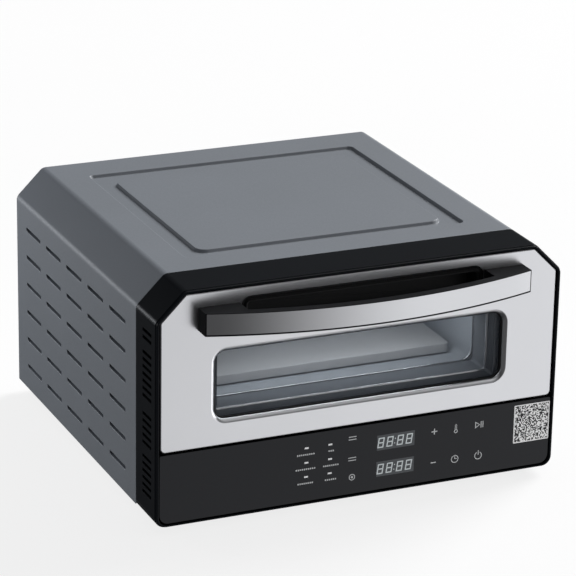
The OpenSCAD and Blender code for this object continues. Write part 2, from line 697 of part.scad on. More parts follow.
module wiring_loom() {
    // to the fan
    color("#8a2f2a") wire([[112, 284, loom_z], [112, 284, 42], [104, 300, 50], [40, 324, 58],
        [-60, 338, 58], [-94, 342, 58], [-98, 346, 58], [-98, fan_y0 - 0.1, 58]], wire_r);
    // to the control board
    color("#30333a") wire([[-165, board_y + board_t + 9.1, 24], [-165, -14, 24], [-150, 10, 40],
        [-60, 80, 48], [40, 170, 52], [86, 262, 52], [92, 282, 47], [92, 284, 42],
        [92, 284, loom_z]], wire_r);
    // to the upper element
    color("#d9d4c4") wire([[-120, cav_y1 + wool + 16.1, upper_z], [-120, 363, upper_z],
        [-124, 366, upper_z - 8], [-170, 364, 170], [-196, 356, 110], [-196, 330, 52],
        [-100, 312, 52], [40, 300, 50], [66, 290, 48], [72, 284, 42], [72, 284, loom_z]], wire_r - 0.2);
}
module fan_frame() {
    half = fan_s / 2;
    color("#202124") {
        difference() {
            deep(fan_y0, fan_y1) rounded(fan_x - half, fan_z - half, fan_x + half, fan_z + half, 4);
            rod(fan_x, fan_z, fan_y0 - 1, fan_y1 + 1, half - 1.5);
            for (x = [-25, 25], z = [-25, 25])
                rod(fan_x + x, fan_z + z, fan_y0 - 1, fan_y1 + 1, 2.15);
        }
        // three struts carry the motor plate
        for (a = [90, 210, 330]) translate([fan_x, 0, fan_z]) rotate([0, a, 0])
            block([hub_r - 2, fan_y0, -1.5], [half - 1, fan_y0 + 2, 1.5]);
        difference() {
            rod(fan_x, fan_z, fan_y0, fan_y0 + 2, hub_r);
            rod(fan_x, fan_z, fan_y0 - 1, fan_y0 + 3, 4.05);
        }
    }
}
module fan_motor() {
    color("#b87333") {
        rod(fan_x, fan_z, fan_y0, fan_y0 + 8, 4);
        rod(fan_x, fan_z, fan_y0 + 2.05, fan_y0 + 8, 8);
    }
    color("silver") rod(fan_x, fan_z, fan_y0 + 8, fan_y1 - 3, 1.5);
}
module fan_impeller() {
    color("#2c2d30") {
        difference() {
            rod(fan_x, fan_z, fan_y0 + 3, fan_y1 - 2, hub_r);
            rod(fan_x, fan_z, fan_y0 + 2, fan_y0 + 9, hub_r - 1.5);
            rod(fan_x, fan_z, fan_y0 + 2, fan_y1 - 2.6, 1.55);
        }
        for (k = [0 : 6]) translate([fan_x, (fan_y0 + fan_y1) / 2 + 0.5, fan_z])
            rotate([0, k * 360 / 7, 0]) translate([hub_r - 1, 0, 0]) rotate([40, 0, 0])
                block([0, -8, -0.8], [fan_s / 2 - 2.5 - hub_r + 1, 8, 0.8]);
    }
}

// ---- hinges ----
// arm riveted to the front plate, with the pin's running bore at its tip
module hinge_bracket() {
    difference() {
        union() {
            across(hinge_x, hinge_x + arm_t) {
                translate([pin_y, pin_z]) circle(4.3);
                translate([pin_y, pin_z - 4.3]) square([plate_y - pin_y - 0.05, 8.6]);
            }
            block([hinge_x - 1, plate_y - 2, pin_z - 4.3],
                [hinge_x + arm_t + 8, plate_y - 0.05, pin_z + 4.3]);
        }
        translate([hinge_x - 2, pin_y, pin_z]) rotate([0, 90, 0])
            cylinder(h = arm_t + 4, r = pin_r + pin_gap);
    }
}
module hinge_bracket_right() { color("silver") hinge_bracket(); }
module hinge_bracket_left() { color("silver") mirror([1, 0, 0]) hinge_bracket(); }
// two ears on each side of the arm, joined above it
module hinge_lugs() {
    x0 = hinge_x - lug_gap - lug_t;
    x1 = hinge_x + arm_t + lug_gap;
    color("silver") both_sides() difference() {
        union() {
            for (x = [x0, x1]) across(x, x + lug_t) {
                translate([pin_y, pin_z]) circle(4.2);
                translate([pin_y, frame_z0 + t + 0.1]) square([door_back - t - pin_y - 0.05, 15]);
            }
            block([x0, door_back - t - 2, pin_z + 6],
                [x1 + lug_t, door_back - t - 0.05, frame_z0 + t + 15]);
        }
        translate([x0 - 1, pin_y, pin_z]) rotate([0, 90, 0])
            cylinder(h = x1 - x0 + lug_t + 2, r = pin_r + 0.02);
    }
}
module hinge_pins() {
    x0 = hinge_x - lug_gap - lug_t;
    x1 = hinge_x + arm_t + lug_gap + lug_t;
    color("silver") both_sides() {
        translate([x0 - 0.05, pin_y, pin_z]) rotate([0, 90, 0]) cylinder(h = x1 - x0 + 9, r = pin_r);
        translate([x0 - 1.6, pin_y, pin_z]) rotate([0, 90, 0]) cylinder(h = 1.5, r = 3.6);
    }
}
// closing springs wound round the outer ends of the pins
module door_springs() {
    x1 = hinge_x + arm_t + lug_gap + lug_t;
    color("#9a9ca0") both_sides() translate([x1 + 0.8, pin_y, pin_z]) rotate([0, 90, 0])
        rotate_extrude() for (i = [0 : 6])
            translate([pin_r + 0.9, 0.6 + i * 0.95]) circle(0.6, $fn = 24);
}

// ---- door ----
module hinge_slots() {
    both_sides() block([hinge_x - 1.2, pin_y - 4.7, door_z0 - 1],
        [hinge_x + arm_t + 1.2, door_back + 1, pin_z + 5]);
}
module door_skin() {
    color("#d0d2d4") difference() {
        deep(door_y, door_y + 9.3) outline(door_half, door_z0, door_z1, door_chamfer, 5);
        deep(door_y + t, door_y + 10)
            outline(door_half - t, door_z0 + t, door_z1 - t, door_chamfer - 0.6, 4);
        deep(door_y - 1, door_y + 2) rounded(win_rim - win_half, win_z0 + win_rim,
            win_half - win_rim, win_z1 - win_rim, win_r - win_rim);
        deep(door_y - 1, door_y + 2) rounded(-pocket_half, pocket_z0, pocket_half, pocket_z1, 6);
        for (p = handle_screw_spots()) rod(p[0], p[1], door_y - 1, door_y + 2, screw_r + 0.1);
        hinge_slots();
    }
    color("#d0d2d4") deep(door_y, door_y + 4) difference() {
        rounded(win_rim - win_half - t, win_z0 + win_rim - t, win_half - win_rim + t,
            win_z1 - win_rim + t, win_r - win_rim + t);
        rounded(win_rim - win_half, win_z0 + win_rim, win_half - win_rim, win_z1 - win_rim,
            win_r - win_rim);
    }
}
function handle_screw_spots() = [for (s = [-1, 1], z = [grip_z0 + 7, grip_z1 - 7])
    [s * (handle_half - 16), z]];
module window_gasket() {
    color("#111214") deep(door_y + 4.1, glass_y - 0.05) difference() {
        rounded(-win_half, win_z0, win_half, win_z1, win_r);
        rounded(seal_in - win_half, win_z0 + seal_in, win_half - seal_in, win_z1 - seal_in,
            win_r - seal_in);
    }
}
module door_outer_glass() {
    color("#5a5e62", 0.35) deep(glass_y, glass_y + pane_t) rounded(-172, 94, 172, 191, 8);
}
module glass_spacer() {
    color("#3a3c40") deep(glass_y + pane_t + 0.05, door_back - t - pane_t - 0.1) difference() {
        rounded(-tunnel_half - 8, tunnel_z0 - 8, tunnel_half + 8, tunnel_z1 + 8, 8);
        rounded(-tunnel_half, tunnel_z0, tunnel_half, tunnel_z1, 4);
    }
}
module door_inner_glass() {
    color("#5a5e62", 0.35) deep(door_back - t - pane_t - 0.05, door_back - t - 0.05)
        rounded(-tunnel_half - 8, tunnel_z0 - 8, tunnel_half + 8, tunnel_z1 + 8, 6);
}
module glass_clips() {
    color("silver") for (x = [-140, 0, 140], s = [0, 1]) {
        z = s == 0 ? 92 : 193;
        block([x - 8, door_y + t + 0.05, z - 1.8], [x + 8, glass_y + pane_t + 1.2, z + 0.8]);
        block([x - 8, glass_y + pane_t + 0.1, s == 0 ? z : 189], [x + 8, glass_y + pane_t + 1.2,
            s == 0 ? 96 : z]);
    }
}
module door_inner_frame() {
    color("#b5b7ba") difference() {
        union() {
            deep(door_y + 9.3, door_back)
                outline(frame_half, frame_z0, frame_z1, door_chamfer - 4, 3);
            deep(door_y + 8.2, door_y + 9.3)
                outline(door_half - t - 0.2, door_z0 + t + 0.2, door_z1 - t - 0.2, door_chamfer - 0.8, 4);
        }
        deep(door_y + 8, door_back - t)
            outline(frame_half - t, frame_z0 + t, frame_z1 - t, door_chamfer - 4.6, 2);
        deep(door_back - 2 * t, door_back + 1)
            rounded(-tunnel_half, tunnel_z0, tunnel_half, tunnel_z1, 4);
        for (p = door_screw_spots()) rod(p[0], p[1], door_back - 3, door_back + 1, screw_r + 0.1);
        hinge_slots();
        // room for the lugs, the pin heads and the springs
        both_sides() block([hinge_x - 8, door_y + 8, frame_z0 - 2], [hinge_x + 18, pin_y + 5, pin_z + 5]);
    }
}
function door_screw_spots() = [for (s = [-1, 1], z = [120, 165]) [s * 195, z]];
module door_screws() {
    color("silver") for (p = door_screw_spots()) {
        rod(p[0], p[1], door_back - 8, door_back, screw_r);
        rod(p[0], p[1], door_back, door_back + 1.4, 2.9);
    }
}

// ---- handle ----
module bow_ring(r1, r0) {
    translate([0, bow_c]) difference() {
        circle(r1, $fn = 180);
        circle(r0, $fn = 180);
    }
}
module handle_grip() {
    color("#222428") difference() {
        translate([0, 0, grip_z0]) linear_extrude(handle_h) {
            intersection() {
                bow_ring(bow_r - strip_t, bow_r - grip_t);
                translate([-handle_half, bow_y - 1]) square([2 * handle_half, handle_sag + grip_t + 4]);
            }
            difference() {
                for (s = [-1, 1]) translate([s > 0 ? block_in : -handle_half, bow_y])
                    square([handle_half - block_in, door_y - bow_y - 0.02]);
                translate([0, bow_c]) difference() {
                    circle(bow_r + 60, $fn = 180);
                    circle(bow_r - strip_t, $fn = 180);
                }
            }
        }
        for (p = handle_screw_spots()) rod(p[0], p[1], door_y - 14, door_y + 1, screw_r + 0.1);
    }
    // thin border that frames the steel strip above, below and at both ends
    color("#222428") translate([0, 0, grip_z0]) linear_extrude(strip_edge) bow_face();
    color("#222428") translate([0, 0, grip_z1 - strip_edge / 2]) linear_extrude(strip_edge / 2) bow_face();
    color("#222428") for (s = [0, 1]) mirror([s, 0, 0]) translate([0, 0, grip_z0])
        linear_extrude(handle_h) intersection() {
            bow_face();
            translate([handle_half - strip_edge, bow_y]) square([strip_edge, handle_sag + 5]);
        }
}
module bow_face() {
    intersection() {
        bow_ring(bow_r - 0.1, bow_r - strip_t - 0.1);
        translate([-handle_half, bow_y - 1]) square([2 * handle_half, handle_sag + 6]);
    }
}
module handle_strip() {
    color("#dcdddf") translate([0, 0, grip_z0 + strip_edge + 0.02])
        linear_extrude(handle_h - strip_edge * 1.5 - 0.04) intersection() {
            bow_ring(bow_r, bow_r - strip_t + 0.01);
            translate([strip_edge + 0.02 - handle_half, bow_y - 1])
                square([2 * (handle_half - strip_edge - 0.02), handle_sag + 6]);
        }
}
module handle_screws() {
    color("silver") for (p = handle_screw_spots()) {
        rod(p[0], p[1], door_y - 12, door_y + t, screw_r);
        rod(p[0], p[1], door_y + t, door_y + t + 2, 2.9);
    }
}
module handle_pocket() {
    color("#141518") difference() {
        union() {
            deep(door_y + 0.2, door_y + pocket_d) rounded(0.2 - pocket_half, pocket_z0 + 0.2,
                pocket_half - 0.2, pocket_z1 - 0.2, 5.8);
            deep(door_y + t + 0.05, door_y + t + 2) rounded(-pocket_half - 4, pocket_z0 - 2,
                pocket_half + 4, pocket_z1 + 4, 8);
        }
        deep(door_y - 1, door_y + pocket_d - 2) rounded(2 - pocket_half, pocket_z0 + 2,
            pocket_half - 2, pocket_z1 - 2, 4);
    }
}

place() outer_casing();
place() rear_panel();
place() base_pan();
place() front_bezel();
place() front_plate();
place() oven_liner();
place() insulation_blanket();
place() upper_element();
place() lower_element();
place() element_clips();
place() element_terminals();
place() temperature_probe();
place() thermal_cutout();
place() stone_rests();
place() baking_stone();
place() door_seal();
place() control_glass();
place() panel_legends();
place() preset_leds();
place() display_windows();
place() display_digits();
place() display_modules();
place() corner_sticker();
place() panel_backing();
place() control_board();
place() board_parts();
place() touch_springs();
place() power_board();
place() power_parts();
place() wiring_loom();
place() fan_frame();
place() fan_motor();
place() fan_impeller();
place() cord_gland();
place() rear_spacers();
place() feet();
place() foot_screws();
place() casing_screws();
place() base_screws();
place() plate_screws();
place() hinge_bracket_left();
place() hinge_bracket_right();
place() door_skin();
place() window_gasket();
place() door_outer_glass();
place() glass_spacer();
place() door_inner_glass();
place() glass_clips();
place() door_inner_frame();
place() hinge_lugs();
place() hinge_pins();
place() door_springs();
place() handle_pocket();
place() handle_grip();
place() handle_strip();
place() handle_screws();
place() door_screws();
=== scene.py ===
# %% [markdown]
# # A countertop pizza oven, dressed for its portrait
# The oven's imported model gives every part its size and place. This lesson loads it as a fixed frame
# and adds what the frame leaves plain: rounded edges, pressed sheet, real finishes and a studio.
# Loading comes first because every later step measures the frame instead of guessing.

# %% Load the frame
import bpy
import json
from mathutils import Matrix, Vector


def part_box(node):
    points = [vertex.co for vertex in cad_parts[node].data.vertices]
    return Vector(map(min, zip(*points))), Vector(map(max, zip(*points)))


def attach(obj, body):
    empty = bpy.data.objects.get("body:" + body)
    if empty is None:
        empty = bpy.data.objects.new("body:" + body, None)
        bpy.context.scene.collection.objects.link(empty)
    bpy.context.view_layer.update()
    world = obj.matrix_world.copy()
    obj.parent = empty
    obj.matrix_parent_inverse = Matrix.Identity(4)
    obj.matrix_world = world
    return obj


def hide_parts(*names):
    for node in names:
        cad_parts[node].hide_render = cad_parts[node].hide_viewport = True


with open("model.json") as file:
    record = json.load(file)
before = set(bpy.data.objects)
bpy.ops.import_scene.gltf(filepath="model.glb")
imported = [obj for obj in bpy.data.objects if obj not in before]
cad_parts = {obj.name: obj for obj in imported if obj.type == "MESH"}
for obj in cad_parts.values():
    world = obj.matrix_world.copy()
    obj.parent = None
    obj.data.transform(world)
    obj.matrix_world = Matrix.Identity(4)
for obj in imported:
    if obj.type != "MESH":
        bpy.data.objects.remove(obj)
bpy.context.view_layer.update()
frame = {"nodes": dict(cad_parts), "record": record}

# %% [markdown]
# ## A maker's ruler
# The oven is drawn in millimetres from one datum: the middle of the casing's front bottom edge, with
# x to the right, y to the rear and z up. A drawing in millimetres reads like a workshop sheet, and one
# transform turns a finished mesh into metres at the end.

# %% Datum and measures
import json
import math
import bmesh
import bpy
from mathutils import Matrix, Vector

MM = 0.001
casing_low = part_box("outer_casing")[0]
DATUM = Vector((0, casing_low.y, casing_low.z))
TO_FRAME = Matrix.Translation(DATUM) @ Matrix.Scale(MM, 4)


def span(node):
    """The lowest and the highest corner of a CAD node, in millimetres from the datum."""
    return [(corner - DATUM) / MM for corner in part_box(node)]


half_w = span("outer_casing")[1].x
top_z = span("outer_casing")[1].z
rear_y = span("outer_casing")[1].y
floor_z = -DATUM.z / MM
print(f"casing {2 * half_w:.0f} x {rear_y:.0f} x {top_z:.0f} mm, floor at {floor_z:.0f}")

# %% [markdown]
# ## Outlines
# Pressed sheet and moulded covers are all rounded polygons: a few corners, each with its own radius.
# A polygon could be bevelled after the fact, but one outline function that also insets gives every
# ring of a fold or a rolled rim the same number of points, so the rings join into clean quads.


# %% Rounded outlines
def ring(corners, radii, inset=0.0, steps=6):
    """A convex outline, counterclockwise, inset by a distance; a radius of 0 stays one point."""
    points = [Vector(c) for c in corners]
    count = len(points)
    along = [(points[(i + 1) % count] - points[i]).normalized() for i in range(count)]
    inward = [Vector((-d.y, d.x)) for d in along]
    made = []
    for i, corner in enumerate(points):
        before, after = along[i - 1], along[i]
        turn = math.atan2(before.x * after.y - before.y * after.x, before.dot(after))
        lean = (inward[i - 1] + inward[i]) / (1 + inward[i - 1].dot(inward[i]))
        tip = corner + lean * inset
        if radii[i] == 0:
            made.append(tip)
            continue
        radius = max(radii[i] - inset, 0.05)
        centre = tip + lean * radius
        for k in range(steps + 1):
            angle = turn * k / steps
            spoke = -inward[i - 1]
            made.append(centre + radius * Vector((
                spoke.x * math.cos(angle) - spoke.y * math.sin(angle),
                spoke.x * math.sin(angle) + spoke.y * math.cos(angle))))
    return made


def oblong(low, high):
    """The four corners of an upright rectangle."""
    return [(low[0], low[1]), (high[0], low[1]), (high[0], high[1]), (low[0], high[1])]


def front_shape(half, z0, z1, leg):
    """The oven's front outline: chamfered above, square below."""
    return [(half, z0), (half, z1 - leg), (half - leg, z1), (leg - half, z1), (-half, z1 - leg),
            (-half, z0)]


print("points on a rounded square:", len(ring(oblong((0, 0), (10, 10)), [2] * 4)))

# %% [markdown]
# ## Skins and patches
# A fold is a skin between two rings. A flat area with holes in it is a patch: its edges are filled
# with triangles, which stay flat. Building both in bmesh keeps every number in view, and a finished
# mesh is smoothed only across gentle angles, as light shows it on real sheet.


# %% Mesh helpers
def lay(bm, outline, place):
    """Vertices along an outline; place turns a 2-D point into a 3-D one."""
    return [bm.verts.new(place(p)) for p in outline]


def skin(bm, rings, skip=(), closed=True):
    """Quads between rings of equal count, leaving out the segments in skip."""
    for a, b in zip(rings, rings[1:]):
        for i in range(len(a) if closed else len(a) - 1):
            j = (i + 1) % len(a)
            if i not in skip:
                bm.faces.new((a[i], a[j], b[j], b[i]))


def patch(bm, loops):
    """Fills the flat area inside the first loop and outside the others."""
    edges = []
    for loop in loops:
        for a, b in zip(loop, loop[1:] + loop[:1]):
            edges.append(bm.edges.get((a, b)) or bm.edges.new((a, b)))
            edges[-1].smooth = False       # the flat keeps its own normal up to its border
    bmesh.ops.triangle_fill(bm, use_beauty=True, edges=edges)


def upright(bm, outline, z0, z1):
    """A prism that stands on an outline in x and y."""
    low = [bm.verts.new((x, y, z0)) for x, y in outline]
    high = [bm.verts.new((x, y, z1)) for x, y in outline]
    skin(bm, [low, high])
    bm.faces.new(low)
    bm.faces.new(high)


def round_off(bm, width, segments=2, angle=35):
    """Rounds every edge sharper than an angle."""
    sharp = [e for e in bm.edges
             if len(e.link_faces) == 2 and e.calc_face_angle() > math.radians(angle)]
    bmesh.ops.bevel(bm, geom=sharp, offset=width, offset_type="OFFSET", segments=segments,
                    profile=0.5, affect="EDGES", clamp_overlap=True)


def finish_piece(bm, name, material, body, nodes, wall=0.0, smooth=38):
    """Turns a mesh in millimetres into a piece that stands for CAD nodes and moves with a body."""
    bmesh.ops.recalc_face_normals(bm, faces=bm.faces)
    for face in bm.faces:
        face.smooth = True
    for edge in bm.edges:
        if not edge.is_manifold or edge.calc_face_angle() > math.radians(smooth):
            edge.smooth = False
    bm.transform(TO_FRAME)
    mesh = bpy.data.meshes.new(name)
    bm.to_mesh(mesh)
    bm.free()
    piece = bpy.data.objects.new(name, mesh)
    bpy.context.scene.collection.objects.link(piece)
    if wall:
        sheet = piece.modifiers.new("Sheet", "SOLIDIFY")
        sheet.thickness = wall * MM
        sheet.offset = -1
    level = piece.modifiers.new("Level", "WEIGHTED_NORMAL")
    level.keep_sharp = True
    mesh.materials.append(material)
    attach(piece, body)
    if nodes:
        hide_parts(*nodes)
    print(f"{name}: {len(mesh.polygons)} faces on {body}")


def refined(node, name, width, material, body, slot):
    """A copy of a CAD node with its hard edges rounded, as a mould or a press leaves them."""
    bm = bmesh.new()
    bm.from_mesh(frame["nodes"][node].data)
    bm.transform(TO_FRAME.inverted())
    bmesh.ops.remove_doubles(bm, verts=bm.verts, dist=0.002)
    bmesh.ops.dissolve_limit(bm, angle_limit=math.radians(1.5), verts=bm.verts, edges=bm.edges)
    round_off(bm, width)
    finish_piece(bm, name, material, body, [node])


# %% [markdown]
# ## Colour and shader nodes
# Colour charts give sRGB codes, but shaders add light in linear numbers, so one function converts.
# Another adds a node with its settings and links, which keeps each material a short recipe.


# %% Colour and node helpers
def srgb(code):
    """A linear colour from an sRGB hex code."""
    parts = [int(code[i:i + 2], 16) / 255 for i in (1, 3, 5)]
    return (*[c / 12.92 if c <= 0.04045 else ((c + 0.055) / 1.055) ** 2.4 for c in parts], 1.0)


def put(tree, kind, feeds=None, values=None, **settings):
    """Adds a node: feeds link its inputs, values set them, settings are its own options."""
    node = tree.nodes.new(kind)
    for name, value in settings.items():
        setattr(node, name, value)
    for socket, value in (values or {}).items():
        node.inputs[socket].default_value = value
    for socket, source in (feeds or {}).items():
        tree.links.new(source, node.inputs[socket])
    return node


def blank(name):
    """A material with an empty tree, and the coordinates of the piece in metres."""
    material = bpy.data.materials.new(name)
    material.use_nodes = True
    tree = material.node_tree
    tree.nodes.clear()
    return material, tree, put(tree, "ShaderNodeTexCoord").outputs["Object"]


def per_metre(size_mm):
    """The texture scale that gives features of a size in millimetres."""
    return 1 / (size_mm * MM)


print("mid grey in linear light:", round(srgb("#808080")[0], 3))

# %% [markdown]
# ## What most finishes share
# Few real surfaces are one flat shade: the colour drifts a little over some centimetres, the gloss
# varies, and a fine grain breaks up the highlight. Most of the oven's finishes are that recipe with
# other numbers, so it is one function. The grain can be stretched, which makes brushed or drawn metal.


# %% A surface with drift and grain
def surface(name, dark, light, grain, relief, gloss, drift=60, stretch=(1, 1, 1), **shader):
    """Colour drifts between two codes; grain is in millimetres and relief in hundredths of one.

    Further settings are named after the shader's sockets, with _ for each space."""
    constants = {key.replace("_", " "): value for key, value in shader.items()}
    material, tree, place = blank(name)
    wide = put(tree, "ShaderNodeTexNoise", {"Vector": place},
               {"Scale": per_metre(drift), "Detail": 3.0})
    shade = put(tree, "ShaderNodeMix", {"Factor": wide.outputs["Fac"]}, data_type="RGBA")
    shade.inputs["A"].default_value = srgb(dark)
    shade.inputs["B"].default_value = srgb(light)
    laid = put(tree, "ShaderNodeMapping", {"Vector": place}, {"Scale": stretch})
    fine = put(tree, "ShaderNodeTexNoise", {"Vector": laid.outputs["Vector"]},
               {"Scale": per_metre(grain), "Detail": 2.0})
    rough = put(tree, "ShaderNodeMapRange", {"Value": fine.outputs["Fac"]},
                {"From Min": 0.3, "From Max": 0.7, "To Min": gloss[0], "To Max": gloss[1]})
    bump = put(tree, "ShaderNodeBump", {"Height": fine.outputs["Fac"]},
               {"Strength": 1.0, "Distance": relief * 0.01 * MM})
    principled = put(tree, "ShaderNodeBsdfPrincipled",
                     {"Base Color": shade.outputs["Result"], "Roughness": rough.outputs["Result"],
                      "Normal": bump.outputs["Normal"]}, constants)
    put(tree, "ShaderNodeOutputMaterial", {"Surface": principled.outputs["BSDF"]})
    return material


print("surface recipe ready")

# %% [markdown]
# ## Coated sheet
# The casing is pressed steel with a satin powder coat. Powder is sprayed dry and baked, so it flows
# into a faint orange peel about 2 mm wide: the eye sees a soft, slightly grainy sheen and no mirror.
# It is a plastic film, so its IOR is near 1.5 and it isn't metallic.

# %% Powder coat
powder_coat = surface("satin_powder_coat", "#6b7076", "#71767d", grain=1.6, relief=1.2,
                      gloss=(0.46, 0.56), drift=120, IOR=1.5)
print("material:", powder_coat.name)

# %% [markdown]
# ## Moulded plastics and rubber
# The bezel, grip and pocket are black ABS and glass-filled nylon from a spark-eroded mould, whose
# fine texture spreads each highlight. Texture of 0.1 mm would vanish at this distance, so the grain is
# drawn about 0.8 mm wide. The specular level is lowered, since the eroded pits hide most of the sheen.
# Rubber is duller still, and the phenolic and relay cases come from polished moulds.

# %% Plastics and rubbers
bezel_abs = surface("black_satin_abs", "#0a0d11", "#0d1014", grain=0.8, relief=0.5,
                    gloss=(0.33, 0.39), IOR=1.45, Specular_IOR_Level=0.1)
grip_nylon = surface("black_grained_nylon", "#090a0d", "#0c0d10", grain=0.7, relief=0.8,
                     gloss=(0.33, 0.39), IOR=1.5, Specular_IOR_Level=0.1)
pocket_abs = surface("black_dull_abs", "#060708", "#090a0b", grain=0.8, relief=0.8,
                     gloss=(0.5, 0.6), IOR=1.45, Specular_IOR_Level=0.25)
backing_abs = surface("black_moulded_abs", "#131416", "#181a1c", grain=0.8, relief=0.8,
                      gloss=(0.45, 0.55), IOR=1.5)
fan_pbt = surface("black_fan_plastic", "#121315", "#18191b", grain=0.7, relief=0.6,
                  gloss=(0.38, 0.46), IOR=1.55)
phenolic = surface("brown_phenolic", "#3a2c22", "#46362a", grain=0.6, relief=0.5,
                   gloss=(0.25, 0.35), IOR=1.55)
relay_pbt = surface("blue_relay_plastic", "#1c469c", "#2450aa", grain=0.8, relief=0.4,
                    gloss=(0.2, 0.28), IOR=1.55)
display_shell = surface("white_polycarbonate", "#d8d8d2", "#e4e4de", grain=1.0, relief=0.4,
                        gloss=(0.35, 0.42), IOR=1.58)
foot_rubber = surface("black_foot_rubber", "#101112", "#17181a", grain=0.9, relief=2.0,
                      gloss=(0.7, 0.82), IOR=1.52)
gasket_silicone = surface("black_silicone", "#060607", "#0a0a0b", grain=0.8, relief=0.8,
                          gloss=(0.5, 0.62), IOR=1.41)
wire_silicone = surface("red_silicone_sleeve", "#7a2420", "#8a2c26", grain=0.8, relief=0.8,
                        gloss=(0.42, 0.5), IOR=1.41)
print("plastics and rubbers: 11 materials")

# %% [markdown]
# ## Stainless steel
# The door skin is stainless sheet rubbed with a fine belt from top to bottom, and the grip's strip is
# rubbed along its length. The belt leaves hair lines some hundredths of a millimetre wide, which are
# drawn 0.4 mm wide so that they still show. The eye sees a soft, milky mirror that shades with the
# room round it. Steel keeps the default IOR and is fully metallic, so its colour is its reflection.

# %% Brushed steels
door_steel = surface("brushed_stainless_sheet", "#dddee0", "#e3e4e6", grain=0.4, relief=0.01,
                     gloss=(0.28, 0.3), drift=90, stretch=(1, 1, 0.03), Metallic=1.0)
strip_steel = surface("brushed_grip_strip", "#cbccce", "#d1d2d4", grain=0.4, relief=0.015,
                      gloss=(0.18, 0.21), drift=90, stretch=(0.03, 0.03, 1), Metallic=1.0)
print("brushed steels: 2 materials")

# %% [markdown]
# ## Enamels and plain metals
# The cavity is lined with fired enamel on steel: a glassy grey coat, so it isn't metallic. The front
# plate takes a darker copy of that enamel, as painted shade for the dim space behind the door. The trim
# that holds the inner pane is polished and draws a thin bright line. Screws and clips are zinc plated,
# hinges and base are galvanised, and the heater sheaths are an alloy that heat has turned dull and
# dark. The spacer is dark anodised, and is drawn darker still as painted shade for the gap between the
# panes.

# %% Enamels and metals
liner_enamel = surface("grey_enamelled_steel", "#a4a8ac", "#adb1b5", grain=2.2, relief=0.8,
                       gloss=(0.38, 0.48), drift=70, IOR=1.5)
# painted shade: the front plate's enamel is drawn darker than the liner's, for the dim space behind the
# door
front_enamel = surface("enamel_with_painted_shade", "#73767a", "#7b7e83", grain=2.2, relief=0.8,
                       gloss=(0.38, 0.48), drift=70, IOR=1.5)
frame_steel = surface("bright_pressed_steel", "#b4b6b9", "#c0c2c5", grain=1.5, relief=0.6,
                      gloss=(0.3, 0.4), drift=70, Metallic=1.0)
trim_steel = surface("polished_trim_steel", "#e2e3e5", "#e8e9eb", grain=0.8, relief=0.05,
                     gloss=(0.22, 0.26), drift=70, Metallic=1.0)
zinc_plate = surface("zinc_plated_steel", "#b2b4b6", "#c2c4c7", grain=1.0, relief=0.4,
                     gloss=(0.24, 0.34), drift=12, Metallic=1.0)
galvanised = surface("galvanised_sheet", "#8d9194", "#a8acaf", grain=6.0, relief=0.4,
                     gloss=(0.35, 0.5), drift=14, Metallic=1.0)
heater_sheath = surface("heat_darkened_alloy", "#2c2e33", "#43464c", grain=1.2, relief=0.8,
                        gloss=(0.42, 0.55), drift=25, Metallic=0.8)
# painted shade: the spacer is drawn darker than its anodising, for the shade in the gap between the
# panes
anodised = surface("anodised_aluminium_with_painted_shade", "#303337", "#373a3e", grain=1.2, relief=0.5,
                   gloss=(0.38, 0.46), drift=60, Metallic=0.6)
brass = surface("plain_brass", "#b4984a", "#c4a856", grain=1.0, relief=0.3,
                gloss=(0.25, 0.35), drift=10, Metallic=1.0)
black_oxide = surface("black_oxide_steel", "#26272a", "#323438", grain=0.8, relief=0.6,
                      gloss=(0.4, 0.5), drift=10, Metallic=0.9)
print("enamels and metals: 10 materials")

# %% [markdown]
# ## Glass
# The door has two panes of grey-tinted tempered glass, and the control panel is glass painted black
# behind. A refracting pane would be slow and noisy, and 3 mm of glass hardly bends the view, so the
# panes are a thin smoked film: mostly clear, with the glossy face of glass at IOR 1.52. The painted
# glass looks deep and slightly blue, and its gloss is soft, as if finger-proofed by etching.


# %% Glass materials
def pane(name, tint, cover, roughness):
    """Tinted glass: cover is the share of light that the tint holds back."""
    material, tree, place = blank(name)
    haze = put(tree, "ShaderNodeTexNoise", {"Vector": place}, {"Scale": per_metre(80), "Detail": 2.0})
    rough = put(tree, "ShaderNodeMapRange", {"Value": haze.outputs["Fac"]},
                {"To Min": roughness, "To Max": roughness + 0.03})
    glass = put(tree, "ShaderNodeBsdfPrincipled", {"Roughness": rough.outputs["Result"]},
                {"Base Color": srgb(tint), "Alpha": cover, "IOR": 1.52})
    put(tree, "ShaderNodeOutputMaterial", {"Surface": glass.outputs["BSDF"]})
    return material


smoked_glass = pane("smoked_tempered_glass", "#2c3440", 0.14, 0.03)
panel_glass = surface("black_painted_glass", "#080b11", "#0a0d13", grain=30, relief=0.02,
                      gloss=(0.16, 0.2), drift=90, IOR=1.52, Specular_IOR_Level=0.28)
print("glass:", smoked_glass.name, panel_glass.name)

# %% [markdown]
# ## Print, film and paper
# The legends are baked ink, the display windows a grey film over unlit digits, the lamps frosted
# lenses, and the corner label coated paper. The label carries small squares, pale or dark by chance
# and 1.2 mm wide: a pattern that says nothing. White noise on snapped coordinates makes one value for
# each square, which is sharper than any smooth texture with a threshold.

# %% Print and label materials
panel_ink = surface("pale_baked_ink", "#c2c4c6", "#cccecf", grain=0.6, relief=0.2,
                    gloss=(0.5, 0.6), drift=20, IOR=1.5)
lamp_lens = surface("frosted_lamp_lens", "#f2f3f4", "#f8f9fa", grain=0.6, relief=0.2,
                    gloss=(0.3, 0.4), drift=8, IOR=1.49)
display_film = surface("grey_display_film", "#3a3e42", "#42464a", grain=2.0, relief=0.1,
                       gloss=(0.12, 0.18), drift=20, IOR=1.5)
digit_bar = surface("unlit_display_bar", "#d2dadc", "#dee4e6", grain=0.6, relief=0.1,
                    gloss=(0.3, 0.4), drift=8, IOR=1.5)


